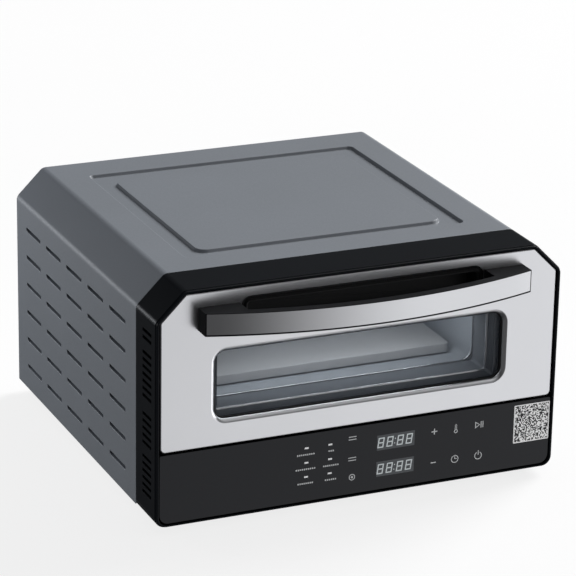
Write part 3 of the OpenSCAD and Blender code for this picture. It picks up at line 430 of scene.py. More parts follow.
def squared_label(name, paper, ink, module):
    """Coated paper printed with squares, pale or dark by chance, module millimetres wide."""
    material, tree, place = blank(name)
    cell = put(tree, "ShaderNodeVectorMath", {0: place}, {1: (module * MM, 1, module * MM)},
               operation="SNAP")
    chance = put(tree, "ShaderNodeTexWhiteNoise", {"Vector": cell.outputs["Vector"]})
    filled = put(tree, "ShaderNodeMath", {0: chance.outputs["Value"]}, {1: 0.5},
                 operation="GREATER_THAN")
    print_colour = put(tree, "ShaderNodeMix", {"Factor": filled.outputs["Value"]}, data_type="RGBA")
    print_colour.inputs["A"].default_value = srgb(paper)
    print_colour.inputs["B"].default_value = srgb(ink)
    fibre = put(tree, "ShaderNodeTexNoise", {"Vector": place}, {"Scale": per_metre(0.5)})
    bump = put(tree, "ShaderNodeBump", {"Height": fibre.outputs["Fac"]},
               {"Distance": 0.005 * MM})
    sheet = put(tree, "ShaderNodeBsdfPrincipled",
                {"Base Color": print_colour.outputs["Result"], "Normal": bump.outputs["Normal"]},
                {"Roughness": 0.45, "IOR": 1.5})
    put(tree, "ShaderNodeOutputMaterial", {"Surface": sheet.outputs["BSDF"]})
    return material


label_print = squared_label("squared_label_print", "#fbfbfb", "#101114", module=1.2)
label_paper = surface("coated_label_paper", "#fafafa", "#fcfcfc", grain=0.5, relief=0.4,
                      gloss=(0.4, 0.5), drift=20, IOR=1.5)
print("print and label: 6 materials")

# %% [markdown]
# ## Stone, ceramics, wool and boards
# The baking stone is dry-pressed cordierite, fired and unglazed: matt, with sandy grains of about 1 mm
# that give it tooth. Its grey is darker than the pale stone itself, as painted shade for the dim cavity.
# Steatite beads carry the heater ends, mineral wool keeps the heat in, the door's seal is a braided
# rope, and the boards are green under a glossy solder mask.

# %% Mineral materials
# painted shade: the stone is drawn greyer and darker than its pale fired colour, for the dim cavity
cordierite = surface("fired_cordierite", "#aeadac", "#c1c0bf", grain=1.1, relief=6.0,
                     gloss=(0.8, 0.92), drift=4, IOR=1.5)
steatite = surface("unglazed_steatite", "#d8d6cf", "#e4e2dc", grain=0.6, relief=1.0,
                   gloss=(0.5, 0.6), drift=12, IOR=1.6)
mineral_wool = surface("felted_mineral_wool", "#a8a48f", "#c6c2b0", grain=3.0, relief=60,
                       gloss=(0.9, 1.0), drift=9, stretch=(1, 0.3, 1), IOR=1.5)
seal_braid = surface("braided_seal_rope", "#1c1d1f", "#2a2b2d", grain=1.2, relief=20,
                     gloss=(0.8, 0.9), drift=3, IOR=1.5)
solder_mask = surface("green_solder_mask", "#12402a", "#1b5236", grain=2.5, relief=1.0,
                      gloss=(0.22, 0.32), drift=6, IOR=1.55)
chip_epoxy = surface("black_chip_epoxy", "#17181a", "#202124", grain=0.4, relief=0.4,
                     gloss=(0.5, 0.6), drift=6, IOR=1.55)
print("mineral materials: 6")

# %% [markdown]
# ## Dress the frame
# Every CAD node gets the finish of its material slot first. Pieces built later replace some nodes,
# and whatever stays already looks right.

# %% Finishes by slot
FINISHES = {
    "casing_paint": powder_coat, "black_screws": black_oxide, "galvanised_sheet": galvanised,
    "bezel_plastic": bezel_abs, "cavity_steel": liner_enamel, "mineral_wool": mineral_wool,
    "element_sheath": heater_sheath, "bright_steel": zinc_plate, "steatite": steatite,
    "cutout_case": phenolic, "cordierite": cordierite, "seal_rope": seal_braid,
    "panel_glass": panel_glass, "panel_print": panel_ink, "led_lens": lamp_lens,
    "display_film": display_film, "digit_bars": digit_bar, "display_case": display_shell,
    "sticker_paper": label_paper, "backing_plastic": backing_abs, "circuit_board": solder_mask,
    "chip_plastic": chip_epoxy, "touch_spring_brass": brass, "relay_plastic": relay_pbt,
    "wire_sleeve": wire_silicone, "fan_plastic": fan_pbt, "foot_rubber": foot_rubber,
    "door_steel": door_steel, "gasket_rubber": gasket_silicone, "door_glass": smoked_glass,
    "spacer_aluminium": anodised, "inner_steel": frame_steel, "pocket_plastic": pocket_abs,
    "grip_plastic": grip_nylon, "strip_steel": strip_steel,
}
for part in frame["record"]["subparts"]:
    for holder in frame["nodes"][part["node"]].material_slots:
        holder.material = FINISHES[part["material_slot"]]

# %% [markdown]
# ## The casing
# One sheet of 1 mm steel is folded over the oven like a tunnel: two sides, two sloping folds and the
# top. Its folds have a bend radius, the top carries a pressed channel round a raised panel, and each
# side has thirty lanced louvres. The folds are swept rings, and the flat panels are patches with holes
# where the pressings start, so that the pressings are real shape and not paint.

# %% Casing rings
FOLD = 10  # outer bend radius
CHAMFER = 31  # leg of the sloping fold
shell_corners = front_shape(half_w, 0, top_z, CHAMFER)
shell_radii = [0, FOLD, FOLD, FOLD, FOLD, 0]
ARC = 6  # points per bend, less one
casing = bmesh.new()
stations = [(0, 0.7), (0.2, 0.2), (0.8, 0), (rear_y - 0.8, 0), (rear_y - 0.2, 0.2), (rear_y, 0.7)]
shell_rings = []
for y, inset in stations:
    outline = ring(shell_corners, shell_radii, inset, ARC)
    # an inset bottom corner would lift the edge, so both ends go back to the bottom line
    outline[0].y = outline[-1].y = 0
    shell_rings.append(lay(casing, outline, lambda p: (p.x, y, p.y)))
FLAT_RIGHT, FLAT_TOP, FLAT_LEFT = 0, 2 * (ARC + 1), 4 * (ARC + 1)
skin(casing, shell_rings[:3], closed=False)
skin(casing, shell_rings[2:4], skip=(FLAT_RIGHT, FLAT_TOP, FLAT_LEFT), closed=False)
skin(casing, shell_rings[3:], closed=False)
front_ring, back_ring = shell_rings[2], shell_rings[3]
print("casing sweep:", len(shell_rings), "rings of", len(front_ring))

# %% [markdown]
# The channel is struck with a punch that has soft edges. From the outside in, the sheet dips over a
# small radius, runs across the channel's floor and climbs back to the raised panel. The wall is a list
# of inset and depth pairs, used once for each side of the channel.

# %% Pressed channel
CHANNEL_DEPTH = 3.3
channel = oblong((-162, 36), (162, 330))
plateau = oblong((-140, 53), (140, 300))
wall_curve = [(0, 0), (0.3, 0.02), (0.6, 0.1), (1.2, 0.35), (1.8, 0.65), (2.4, 0.9), (2.7, 0.98),
              (3, 1)]
WALL = wall_curve[-1][0]
CHANNEL_R, PLATEAU_R = 7, 11  # corner radii in plan


def on_top(depth):
    """Places a point in the top sheet, sunk by a share of the channel's depth."""
    return lambda p: (p.x, p.y, top_z - depth * CHANNEL_DEPTH)


drop = [lay(casing, ring(channel, [CHANNEL_R] * 4, inset, ARC), on_top(depth))
        for inset, depth in wall_curve]
climb = [lay(casing, ring(plateau, [PLATEAU_R] * 4, inset - WALL, ARC), on_top(1 - depth))
         for inset, depth in wall_curve]
skin(casing, drop + climb)
casing.faces.new(climb[-1])
patch(casing, [[front_ring[FLAT_TOP], front_ring[FLAT_TOP + 1], back_ring[FLAT_TOP + 1],
                back_ring[FLAT_TOP]], drop[0]])
print("channel rings:", len(drop + climb))

# %% [markdown]
# A louvre is a cut along three sides and a push: its front end stays joined to the sheet by a short
# wall, and the tongue sinks to its full depth at the rear, where it is open. The lower rear corner is
# drawn rather than cut, so it has the larger radius.

# %% Side louvres
LOUVRE_LENGTH, LOUVRE_HEIGHT = 48.6, 5.5
LOUVRE_FRONT, LOUVRE_DEPTH = 3.0, 5.0  # how deep the tongue lies at each end
LOUVRE_RADII = [1.6, 3.2, 0.9, 1.6]  # low front, low rear, high rear, high front
LOUVRE_PITCH, LOUVRE_STEP = 32.7, 66.5  # up the side, and along it
louvre_rows = [27.9 + LOUVRE_PITCH * j for j in range(6)]
louvre_columns = [30 + LOUVRE_STEP * i for i in range(5)]


def louvre(bm, side, y0, z0):
    """One lanced louvre: a soft edge, walls, and a tongue that slopes in towards its open rear."""
    shape = oblong((y0, z0 - LOUVRE_HEIGHT / 2), (y0 + LOUVRE_LENGTH, z0 + LOUVRE_HEIGHT / 2))

    def sunk(inset, start, slope=0.0):
        def place(p):
            along = (p.x - y0) / LOUVRE_LENGTH
            return (side * (half_w - start - slope * along), p.x, p.y)
        return lay(bm, ring(shape, LOUVRE_RADII, inset, 3), place)

    rings = [sunk(0, 0), sunk(0.3, 0.12), sunk(0.6, 0.4),
             sunk(0.9, LOUVRE_FRONT, LOUVRE_DEPTH - LOUVRE_FRONT)]
    skin(bm, rings[:3])
    rear = [i for i, v in enumerate(rings[2]) if v.co.y > y0 + LOUVRE_LENGTH - 1.5]
    skin(bm, rings[2:], skip=rear[:-1])
    bm.faces.new(rings[3])
    return rings[0]


for side, flat in ((1, FLAT_RIGHT), (-1, FLAT_LEFT)):
    mouths = [louvre(casing, side, y, z) for y in louvre_columns for z in louvre_rows]
    patch(casing, [[front_ring[flat], front_ring[flat + 1], back_ring[flat + 1], back_ring[flat]],
                   *mouths])
finish_piece(casing, "casing_shell", powder_coat, "root", ["outer_casing"],
             wall=1.0, smooth=32)
print("louvres:", 2 * len(louvre_rows) * len(louvre_columns))

# %% [markdown]
# ## The front bezel
# A deep moulded frame joins the casing to the door. It could be a bevelled copy of its CAD part, but
# its outer bends, its narrow front lip and the twenty slots in each side want control, so it is
# lofted: round the outside, over the lip, and back inside to the ledge. The two flat sides are left
# open for patches pierced by the slots.

# %% Bezel loft
bezel_low = span("front_bezel")[0]
BEZEL_WALL = 3.8  # from the outside to the inside of the moulding
LIP = 3  # depth of the narrow front lip
LEDGE_REACH = (12, 18)  # how far in the ledge and the rear foot come
ledge_y = span("front_plate")[0].y + 1.2
inner_half = half_w - BEZEL_WALL
opening_shape = (inner_half, -2.7, top_z - 3.3, 29, 9, 5.5)
bezel = bmesh.new()


def bezel_ring(y, half, z0, z1, leg, low_r, high_r, inset=0.0):
    """A ring of the bezel: half width, bottom, top, leg of the chamfer, lower and upper radii."""
    outline = ring(front_shape(half, z0, z1, leg), [low_r, high_r, high_r, high_r, high_r, low_r],
                   inset, ARC)
    return lay(bezel, outline, lambda p: (p.x, y, p.y))


def outer_ring(y, inset):
    """The casing's outline, carried on over the bezel."""
    return bezel_ring(y, half_w, bezel_low.z, top_z, CHAMFER, 12, FOLD, inset)


def inner_ring(y, inset=0.0):
    """The opening in which the door and the control glass lie."""
    return bezel_ring(y, *opening_shape, inset)


front_y = bezel_low.y
outer_rings = [outer_ring(-0.02, 0.3), outer_ring(-0.6, 0), outer_ring(front_y + LIP + 0.5, 0),
               outer_ring(front_y + LIP + 0.12, 0.15), outer_ring(front_y + LIP, 0.8),
               outer_ring(front_y + 1.2, 1.0), outer_ring(front_y + 0.35, 1.25),
               outer_ring(front_y, 2.1)]
inner_rings = [inner_ring(front_y, -0.9), inner_ring(front_y + 0.3, -0.2),
               inner_ring(front_y + 1.0), inner_ring(ledge_y)]
ledge_shape = (half_w - LEDGE_REACH[0], 4, top_z - 11, 25, 4, 4)
foot_shape = (half_w - LEDGE_REACH[1], 8, top_z - 15, 22, 4, 4)
back_rings = [bezel_ring(ledge_y, *ledge_shape), bezel_ring(-3, *ledge_shape),
              bezel_ring(-3, *foot_shape), bezel_ring(-0.02, *foot_shape)]
SIDES = SIDE_RIGHT, SIDE_LEFT = ARC, 5 * (ARC + 1) - 1
loop = outer_rings + inner_rings + back_rings
skin(bezel, loop[:2])
skin(bezel, loop[1:3], skip=SIDES)
skin(bezel, loop[2:11])
skin(bezel, loop[10:12], skip=SIDES)
skin(bezel, loop[11:] + loop[:1])
print("bezel rings:", len(loop))

# %% [markdown]
# The slots let cooling air in round the door. Their groups and pitch repeat down both sides, and each
# slot is a hole through both walls, joined by its own skin.

# %% Bezel slots
SLOT_HEIGHT, SLOT_PITCH = 3.4, 7.9
slot_groups = [(202.2, 2), (178.2, 7), (110.8, 5), (63.5, 6)]
slot_heights = [top - k * SLOT_PITCH for top, count in slot_groups for k in range(count)]
slot_front, slot_back = front_y + 13, ledge_y - 0.5


def slot_ring(x, z, inset):
    """The outline of one slot at a depth into the bezel's side."""
    shape = oblong((slot_front, z - SLOT_HEIGHT / 2), (slot_back, z + SLOT_HEIGHT / 2))
    return lay(bezel, ring(shape, [0.9] * 4, inset, 3), lambda p: (x, p.x, p.y))


for side, flat in ((1, SIDE_RIGHT), (-1, SIDE_LEFT)):
    outside, inside = [], []
    for z in slot_heights:
        depths = [slot_ring(side * half_w, z, -0.25), slot_ring(side * (half_w - 0.3), z, 0),
                  slot_ring(side * inner_half, z, 0)]
        skin(bezel, depths)
        outside.append(depths[0])
        inside.append(depths[2])
    for near, far, holes in ((loop[1], loop[2], outside), (loop[10], loop[11], inside)):
        patch(bezel, [[near[flat], near[flat + 1], far[flat + 1], far[flat]], *holes])

print("slots per side:", len(slot_heights))

# %% [markdown]
# A thin shelf closes the gap between the control glass and the door. It is moulded with the bezel, so
# it is a prism in the same mesh, and its rear edge runs a little into the ledge.

# %% Shelf over the panel
SHELF_THICK, SHELF_DROP = 2, 0.6  # gauge, and how far its top lies below the glass's edge
panel_high = span("control_glass")[1]
shelf_plan = oblong((-inner_half, panel_high.y + 6.3), (inner_half, ledge_y + 2))
upright(bezel, shelf_plan, panel_high.z - SHELF_DROP - SHELF_THICK, panel_high.z - SHELF_DROP)
finish_piece(bezel, "bezel_frame", bezel_abs, "root", ["front_bezel"])
print("shelf depth:", round(shelf_plan[2][1] - shelf_plan[0][1], 1), "mm")

# %% [markdown]
# ## The door skin
# The door's face is one stainless pressing: edges turned back over a 1.5 mm radius, a rim rolled
# inwards round the window, and a cut-out for the finger pocket. A face patched between three loops
# stays truly flat, which matters, because brushed steel shows every ripple.

# %% Door skin
door_low, door_high = span("door_skin")
window_low, window_high = span("window_gasket")
pocket_low, pocket_high = span("handle_pocket")
door = bmesh.new()
door_half = door_high.x
EDGE = 1.4  # radius of the turned edges
ARM_IN, ARM_OUT = 188.8, 195.2  # notches in the low flange, for the hinge arms


def door_ring(y, inset):
    """The door's outline, with four more points on its low edge where the hinge arms come through."""
    outline = ring(front_shape(door_half, door_low.z, door_high.z, CHAMFER - 3.5),
                   [5.5, 4, 4, 4, 4, 5.5], inset, ARC)
    outline += [Vector((x, outline[0].y)) for x in (-ARM_OUT, -ARM_IN, ARM_IN, ARM_OUT)]
    return lay(door, outline, lambda p: (p.x, y, p.y))


def behind_face(deep):
    """Places a point at a depth behind the door's front face."""
    return lambda p: (p.x, door_low.y + deep, p.y)


edge_rings = [door_ring(door_high.y, 0), door_ring(door_low.y + EDGE, 0)]
for k in (1, 2, 3):
    bend = math.pi / 2 * k / 3
    front = door_low.y + EDGE * (1 - math.sin(bend))
    edge_rings.append(door_ring(front, EDGE * (1 - math.cos(bend))))
notches = (len(edge_rings[0]) - 4, len(edge_rings[0]) - 2)
skin(door, edge_rings[:3], skip=notches)
skin(door, edge_rings[2:])
window = oblong((window_low.x, window_low.z), (window_high.x, window_high.z))
WINDOW_R, WINDOW_ARC = 17, 10  # corner radius, and points per corner, less one
rim_curve = [(0, 0), (0.5, 0.12), (1.2, 0.48), (2.1, 1.05), (3.0, 1.75), (3.7, 2.5), (4.2, 3.5)]
rim_rings = [lay(door, ring(window, [WINDOW_R] * 4, inset, WINDOW_ARC), behind_face(deep))
             for inset, deep in rim_curve]
skin(door, rim_rings)
POCKET_R = 6
POCKET_FLANGE = (4, 2, 4)  # flange of the pocket behind the skin: sides, below, above
pocket = oblong((pocket_low.x + POCKET_FLANGE[0], pocket_low.z + POCKET_FLANGE[1]),
                (pocket_high.x - POCKET_FLANGE[0], pocket_high.z - POCKET_FLANGE[2]))
hem_curve = [(-0.5, 0), (-0.15, 0.15), (0, 0.5), (0, 1.0)]
hem_rings = [lay(door, ring(pocket, [POCKET_R] * 4, inset, ARC), behind_face(deep))
             for inset, deep in hem_curve]
skin(door, hem_rings)
patch(door, [edge_rings[-1], rim_rings[0], hem_rings[0]])
finish_piece(door, "door_face", door_steel, "door", ["door_skin"], wall=0.7)
print(f"door face {2 * door_half:.1f} x {door_high.z - door_low.z:.1f} mm")

# %% [markdown]
# ## The finger pocket
# Behind the bow the skin opens into a moulded tray for the finger tips. It is a cup with draught and
# a round floor edge, lofted in rings from its flange.

# %% Finger pocket
tray = bmesh.new()
tray_curve = [(-3.6, 1.1), (0.3, 1.1), (0.3, 0.4), (0.9, 0.25), (1.6, 0.8), (3.0, 18), (4.5, 20.6),
              (8, 21.6)]
tray_rings = [lay(tray, ring(pocket, [POCKET_R] * 4, inset, ARC), behind_face(deep))
              for inset, deep in tray_curve]
skin(tray, tray_rings)
tray.faces.new(tray_rings[-1])
finish_piece(tray, "finger_pocket", pocket_abs, "door", ["handle_pocket"], wall=-1.6)
print("tray rings:", len(tray_rings))

# %% [markdown]
# ## The bow handle
# The grip is one black moulding: a shallow bow between two blocks that stand on the door. A brushed
# strip is let into its front, with a narrow black border left round it. Both follow the same arc, so
# one function draws it at any radius.

# %% Grip moulding
grip_low, grip_high = span("handle_grip")
strip_low, strip_high = span("handle_strip")
bow_half = grip_high.x
sag = 30  # how far the bow's ends lie behind its middle
bow_radius = (bow_half ** 2 + sag ** 2) / (2 * sag)
bow_centre = strip_low.y + bow_radius
BLOCK = 45  # length of each end block
BOW_THICK = 10


def bow_point(x, radius):
    """The point of the bow's arc above x; all its arcs share one centre."""
    return (x, bow_centre - math.sqrt(radius ** 2 - x ** 2))


def bow_line(x0, x1, radius, steps=40):
    """An arc of the bow as a row of points."""
    return [bow_point(x0 + (x1 - x0) * k / steps, radius) for k in range(steps + 1)]


block_in = bow_half - BLOCK
STRIP_GAUGE, STRIP_LIFT = 0.35, 0.6  # thickness, and the black border left below the strip
grip = bmesh.new()
plan = bow_line(-bow_half, bow_half, bow_radius - 0.1)
plan += [(bow_half, grip_high.y), (block_in, grip_high.y)]
plan += bow_line(block_in, -block_in, bow_radius - BOW_THICK, 30)
plan += [(-block_in, grip_high.y), (-bow_half, grip_high.y)]
upright(grip, plan, grip_low.z, grip_high.z)
round_off(grip, 0.8, segments=3, angle=40)
finish_piece(grip, "grip_moulding", grip_nylon, "door", ["handle_grip"])
strip = bmesh.new()
strip_half = strip_high.x
ends = bow_line(-strip_half, strip_half, bow_radius)
ends += bow_line(strip_half, -strip_half, bow_radius - STRIP_GAUGE)
upright(strip, ends, strip_low.z + STRIP_LIFT, strip_high.z)
round_off(strip, 0.12, segments=2, angle=40)
finish_piece(strip, "grip_strip", strip_steel, "door", ["handle_strip"])
print(f"bow radius {bow_radius:.0f} mm")

# %% [markdown]
# ## The window's rubber and the control glass
# The gasket is a soft lip that shows black inside the rolled rim. The control panel is one sheet of
# glass with ground edges, which catch the light as a fine line. The glass keeps its CAD holes for the
# lamps, so a bevelled copy is the simplest honest way.

# %% Gasket and control glass
gasket = bmesh.new()
lip_curve = [(0.1, 0), (3.6, 0), (4.9, 0.2), (5.6, 0.7), (5.8, 1.3), (5.8, 2.1), (0.1, 2.1)]
lip_rings = [lay(gasket, ring(window, [WINDOW_R] * 4, inset, WINDOW_ARC),
                 lambda p: (p.x, window_low.y + deep, p.y)) for inset, deep in lip_curve]
skin(gasket, lip_rings + lip_rings[:1])
finish_piece(gasket, "window_lip", gasket_silicone, "door", ["window_gasket"])
refined("control_glass", "panel_glass_sheet", 0.5, panel_glass, "root", "panel_glass")
print("gasket depth:", round(window_high.y - window_low.y, 2), "mm")

# %% [markdown]
# Two thin rolled lips show inside the window as bright lines: the retainer that holds the inner pane,
# and the bead round the cavity's mouth. Both are polished strip, rolled so that the face leans back a
# little and mirrors the room over the rim. Each is one small section carried round an outline.


# %% Rolled lips
def rolled_lip(name, corners, radius, front, section, body):
    """A closed section of inset and depth pairs, carried round an outline."""
    bm = bmesh.new()
    rings = [lay(bm, ring(corners, [radius] * 4, inset, 8), lambda p: (p.x, front + deep, p.y))
             for inset, deep in section]
    skin(bm, rings + rings[:1])
    finish_piece(bm, name, trim_steel, body, [])


inner_pane_front = span("door_inner_glass")[0].y
tunnel = oblong((-159, 105.5), (159, 179.5))  # the clear way between the panes
rolled_lip("pane_retainer", tunnel, 3, inner_pane_front - 1.5,
           [(-0.3, 0), (1.2, 0.34), (1.5, 0.56), (1.6, 0.9), (1.6, 1.4), (-0.3, 1.4)],
           "door")
mouth_front = span("oven_liner")[0].y
mouth = oblong((-162.5, 102.5), (162.5, 208.1))
rolled_lip("mouth_bead", mouth, 14, mouth_front - 1.2,
           [(-0.6, 0.3), (-0.1, 0), (0.5, 0.1), (0.9, 0.4), (1.1, 0.8), (1.1, 1.6), (-0.6, 1.3)], "root")
print(f"tunnel {tunnel[2][0] - tunnel[0][0]:.0f} mm wide, mouth {mouth[2][0] - mouth[0][0]:.0f} mm")

# %% [markdown]
# ## The corner label
# A paper label sits on the panel's right end. Its squares stay inside a plain margin. One material
# could mask the margin, but two layers, the paper and the print a hair in front of it, need no mask.

# %% Corner label
label_low, label_high = span("corner_sticker")
MARGIN = 1.2  # plain border round the print
INK = 0.04  # thickness of the printed layer


def layer(outline, rear, front):
    """A thin flat sheet that faces the front."""
    bm = bmesh.new()
    ends = [lay(bm, outline, lambda p: (p.x, y, p.y)) for y in (rear, front)]
    skin(bm, ends)
    for end in ends:
        bm.faces.new(end)
    return bm


sheet = ring(oblong((label_low.x, label_low.z), (label_high.x, label_high.z)), [1] * 4, 0, 3)
finish_piece(layer(sheet, label_high.y, label_low.y + INK), "label_sheet", label_paper, "root",
             ["corner_sticker"])
squares = oblong((label_low.x + MARGIN, label_low.z + MARGIN),
                 (label_high.x - MARGIN, label_high.z - MARGIN))
finish_piece(layer(ring(squares, [0.2] * 4, 0, 2), label_low.y + INK, label_low.y), "label_print",
             label_print, "root", [])
print("label field:", round(squares[1][0] - squares[0][0], 1), "mm wide")

# %% [markdown]
# ## The baking stone
# A slab of cordierite, pressed in a steel mould, so its edges are softly broken and its corners round.
# It lies on its rests and lifts out.

# %% Baking stone
stone_low, stone_high = span("baking_stone")
slab = oblong((stone_low.x, stone_low.y), (stone_high.x, stone_high.y))
stone = bmesh.new()
STONE_R = 6  # radius of the slab's corners
BREAK = 1.6  # radius of the broken edges
CUT = 0.3 * BREAK  # how deep the middle of the arc lies from the corner
levels = [(BREAK, stone_low.z), (CUT, stone_low.z + CUT), (0, stone_low.z + BREAK),
          (0, stone_high.z - BREAK), (CUT, stone_high.z - CUT), (BREAK, stone_high.z)]
stone_rings = [lay(stone, ring(slab, [STONE_R] * 4, inset, ARC), lambda p: (p.x, p.y, z))
               for inset, z in levels]
skin(stone, stone_rings)
stone.faces.new(stone_rings[0])
stone.faces.new(stone_rings[-1])
finish_piece(stone, "stone_slab", cordierite, "stone", ["baking_stone"])
print(f"stone {stone_high.x - stone_low.x:.0f} x {stone_high.y - stone_low.y:.0f} mm")

# %% [markdown]
# ## Small parts
# Feet, gland, spacers, hinge arms, the liner, the front plate and the door's inner frame keep their
# CAD shapes. Copies with broken edges stand for them, because a razor-sharp edge never catches light
# and always looks false. The width is in millimetres: more for rubber, less for cut sheet.

# %% Small parts with broken edges
SMALL_PARTS = [
    ("feet", "rubber_feet", 0.8, foot_rubber, "root", "foot_rubber"),
    ("cord_gland", "gland_body", 0.5, backing_abs, "root", "backing_plastic"),
    ("rear_spacers", "wall_spacers", 0.6, backing_abs, "root", "backing_plastic"),
    ("door_inner_frame", "door_back_frame", 0.5, frame_steel, "door", "inner_steel"),
    ("hinge_bracket_left", "left_hinge_arm", 0.3, galvanised, "root", "galvanised_sheet"),
    ("hinge_bracket_right", "right_hinge_arm", 0.3, galvanised, "root", "galvanised_sheet"),
    ("front_plate", "cavity_front", 0.4, front_enamel, "root", "cavity_steel"),
    ("oven_liner", "cavity_liner", 0.6, liner_enamel, "root", "cavity_steel"),
    ("fan_frame", "fan_housing", 0.5, fan_pbt, "root", "fan_plastic"),
    ("thermal_cutout", "cutout_body", 0.4, phenolic, "root", "cutout_case"),
]
for row in SMALL_PARTS:
    refined(*row)
print("small parts:", len(SMALL_PARTS))

# %% [markdown]
# ## Camera
# A long lens from the front left and above keeps the verticals almost parallel, as in a catalogue.
# Its place is given in metres, and its aim by two angles and a slight roll. A tracking constraint
# could aim it, but three axes written out show what each angle does.

# %% Camera
AZIMUTH, ELEVATION, ROLL = (math.radians(a) for a in (-23.9583, 20.055, 1.0889))
back = Vector((math.sin(AZIMUTH) * math.cos(ELEVATION), -math.cos(AZIMUTH) * math.cos(ELEVATION),
               math.sin(ELEVATION)))
side = Vector((0, 0, 1)).cross(back).normalized()
up = back.cross(side)
right = math.cos(ROLL) * side + math.sin(ROLL) * up
camera = bpy.data.objects.new("camera", bpy.data.cameras.new("camera"))
bpy.context.scene.collection.objects.link(camera)
camera.data.sensor_width = 36
camera.data.lens = 185.28
camera.data.clip_start, camera.data.clip_end = 0.1, 60
camera.rotation_mode = "QUATERNION"
camera.rotation_quaternion = Matrix((right, back.cross(right), back)).transposed().to_quaternion()
camera.location = (-1.23449, -2.78085, 1.28600)
bpy.context.scene.camera = camera
print("camera at", [round(c, 3) for c in camera.location])

# %% [markdown]
# ## Studio floor
# The oven stands on a table of opal acrylic lit from below, as used for catalogue pictures: it is
# white, and it keeps shadows soft and pale. A white floor lit only from above would have to be so
# bright that the sheet steel washes out, so the table glows a little itself. It is left out of
# reflections, since the room alone should shape those.

# %% Floor
FLOOR_REACH = 9  # metres from the middle to each edge
floor_mesh = bpy.data.meshes.new("floor")
floor_plan = oblong((-FLOOR_REACH, -FLOOR_REACH), (FLOOR_REACH, FLOOR_REACH))
floor_mesh.from_pydata([(x, y, 0) for x, y in floor_plan], [], [(0, 1, 2, 3)])
floor = bpy.data.objects.new("floor", floor_mesh)
bpy.context.scene.collection.objects.link(floor)
table_top = surface("opal_acrylic_table", "#5c5c5c", "#5e5e5e", grain=4, relief=0.1,
                    gloss=(0.9, 0.95), drift=300, Emission_Strength=0.82,
                    Emission_Color=srgb("#ffffff"))
floor_mesh.materials.append(table_top)
floor.visible_glossy = False
print("floor:", 2 * FLOOR_REACH, "m square")

# %% [markdown]
# ## Room light
# Steel has no colour of its own, so the room is half its finish. Below eye level the room is dim to
# the left and opens towards the front right, where the door and the strip find something bright to
# mirror: that is why the bow shades from dark to light along its curve. A still brighter window far
# right draws the white line down the left of the window's rim. High up, the room is dark at the front
# and brightens overhead. An image of a studio could do this, but a few eased steps over direction
# are shorter and easy to turn.

# %% Room light
world = bpy.data.worlds.new("studio")
bpy.context.scene.world = world
world.use_nodes = True
room = world.node_tree
room.nodes.clear()
direction = put(room, "ShaderNodeTexCoord").outputs["Generated"]


def rise(value, low, high, dim=0.0, bright=1.0):
    """Eases from dim to bright while a value goes from low to high."""
    return put(room, "ShaderNodeMapRange", {"Value": value},
               {"From Min": low, "From Max": high, "To Min": dim, "To Max": bright},
               interpolation_type="SMOOTHSTEP").outputs["Result"]


def times(a, b):
    """The product of two numbers that nodes give."""
    return put(room, "ShaderNodeMath", {0: a, 1: b}, operation="MULTIPLY").outputs["Value"]


axes = put(room, "ShaderNodeSeparateXYZ", {"Vector": direction})
height = axes.outputs["Z"]
ahead = put(room, "ShaderNodeMath", {0: axes.outputs["Y"]}, {1: -1}, operation="MULTIPLY")
turn = put(room, "ShaderNodeMath", {0: axes.outputs["X"], 1: ahead.outputs["Value"]},
           operation="ARCTAN2").outputs["Value"]
opens = rise(turn, math.radians(-13), math.radians(38), 0.09, 1.1)
closes = rise(turn, math.radians(150), math.radians(115), 0.06, 1.0)
far_window = rise(turn, math.radians(66), math.radians(82), 1.0, 2.2)
under_table = rise(height, -0.9, -0.5, 0.4, 1.0)
low_room = times(times(opens, closes), times(far_window, under_table))
overhead = rise(height, 0.3, 0.95, 0.03, 0.7)
left_dims = rise(axes.outputs["X"], -0.6, 0.4, 0.4, 1.0)
high_room = times(overhead, left_dims)
glow = put(room, "ShaderNodeMix",
           {"Factor": rise(height, 0.1, 0.25), "A": low_room, "B": high_room}, data_type="FLOAT")
backdrop = put(room, "ShaderNodeBackground", {"Strength": glow.outputs[0]},
               {"Color": srgb("#fdfdff")})
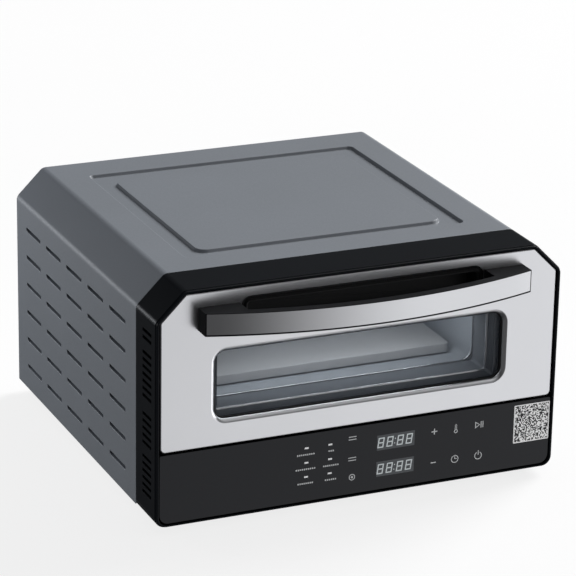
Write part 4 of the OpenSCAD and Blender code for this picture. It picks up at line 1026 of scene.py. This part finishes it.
put(room, "ShaderNodeOutputWorld", {"Surface": backdrop.outputs["Background"]})
print("room nodes:", len(room.nodes))

# %% [markdown]
# ## Lamps
# A broad sun from the right rear lights the top and throws the shadow forwards. A weak softbox behind
# the left side lets that side fade from rear to front. Three small lamps inside stand for light that
# real panes and sheet pass about: one under the cavity's roof, one over its sill, and a thin one
# between the panes that shows the trim.

# %% Lamps
def lamp(name, kind, power, place, aim, **settings):
    """A lamp that shines from a place towards a point."""
    data = bpy.data.lights.new(name, kind)
    data.energy = power
    for key, value in settings.items():
        setattr(data, key, value)
    holder = bpy.data.objects.new(name, data)
    holder.location = place
    holder.rotation_mode = "QUATERNION"
    holder.rotation_quaternion = (Vector(aim) - Vector(place)).to_track_quat("-Z", "Y")
    holder.visible_camera = False
    bpy.context.scene.collection.objects.link(holder)


COOL = (0.86, 0.93, 1.0)  # colour of the light inside
WIDE = 0.28  # width of the lamps inside, in metres
lamp("key", "SUN", 4.1, (0.8, 0.35, 0.6), (0, 0, 0), angle=math.radians(30))
lamp("fill", "AREA", 0.52, (-0.8, 0.8, 0.28), (-0.23, 0.18, 0.18), shape="RECTANGLE", size=0.5,
     size_y=0.2, spread=math.radians(70), color=(0.92, 0.95, 1.0))
cavity_low, cavity_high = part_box("oven_liner")
cavity_front = cavity_low.y + 0.1
lamp("cavity", "AREA", 0.21, (0, cavity_front, cavity_high.z - 0.008), (0, cavity_front, 0),
     shape="RECTANGLE", size=WIDE, size_y=0.18, color=COOL)
pane_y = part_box("door_outer_glass")[0].y
lamp("sill", "AREA", 0.15, (0, pane_y + 0.068, 0.19), (0, cavity_low.y + 0.05, 0.108),
     shape="RECTANGLE", size=WIDE, size_y=0.02, color=COOL)
lamp("panes", "AREA", 0.04, (0, pane_y + 0.011, 0.192), (0, pane_y + 0.017, 0.12),
     shape="RECTANGLE", size=WIDE, size_y=0.006, color=(0.9, 0.95, 1.0))
bpy.context.scene.view_settings.view_transform = "Standard"
print("lamps:", len(bpy.data.lights))
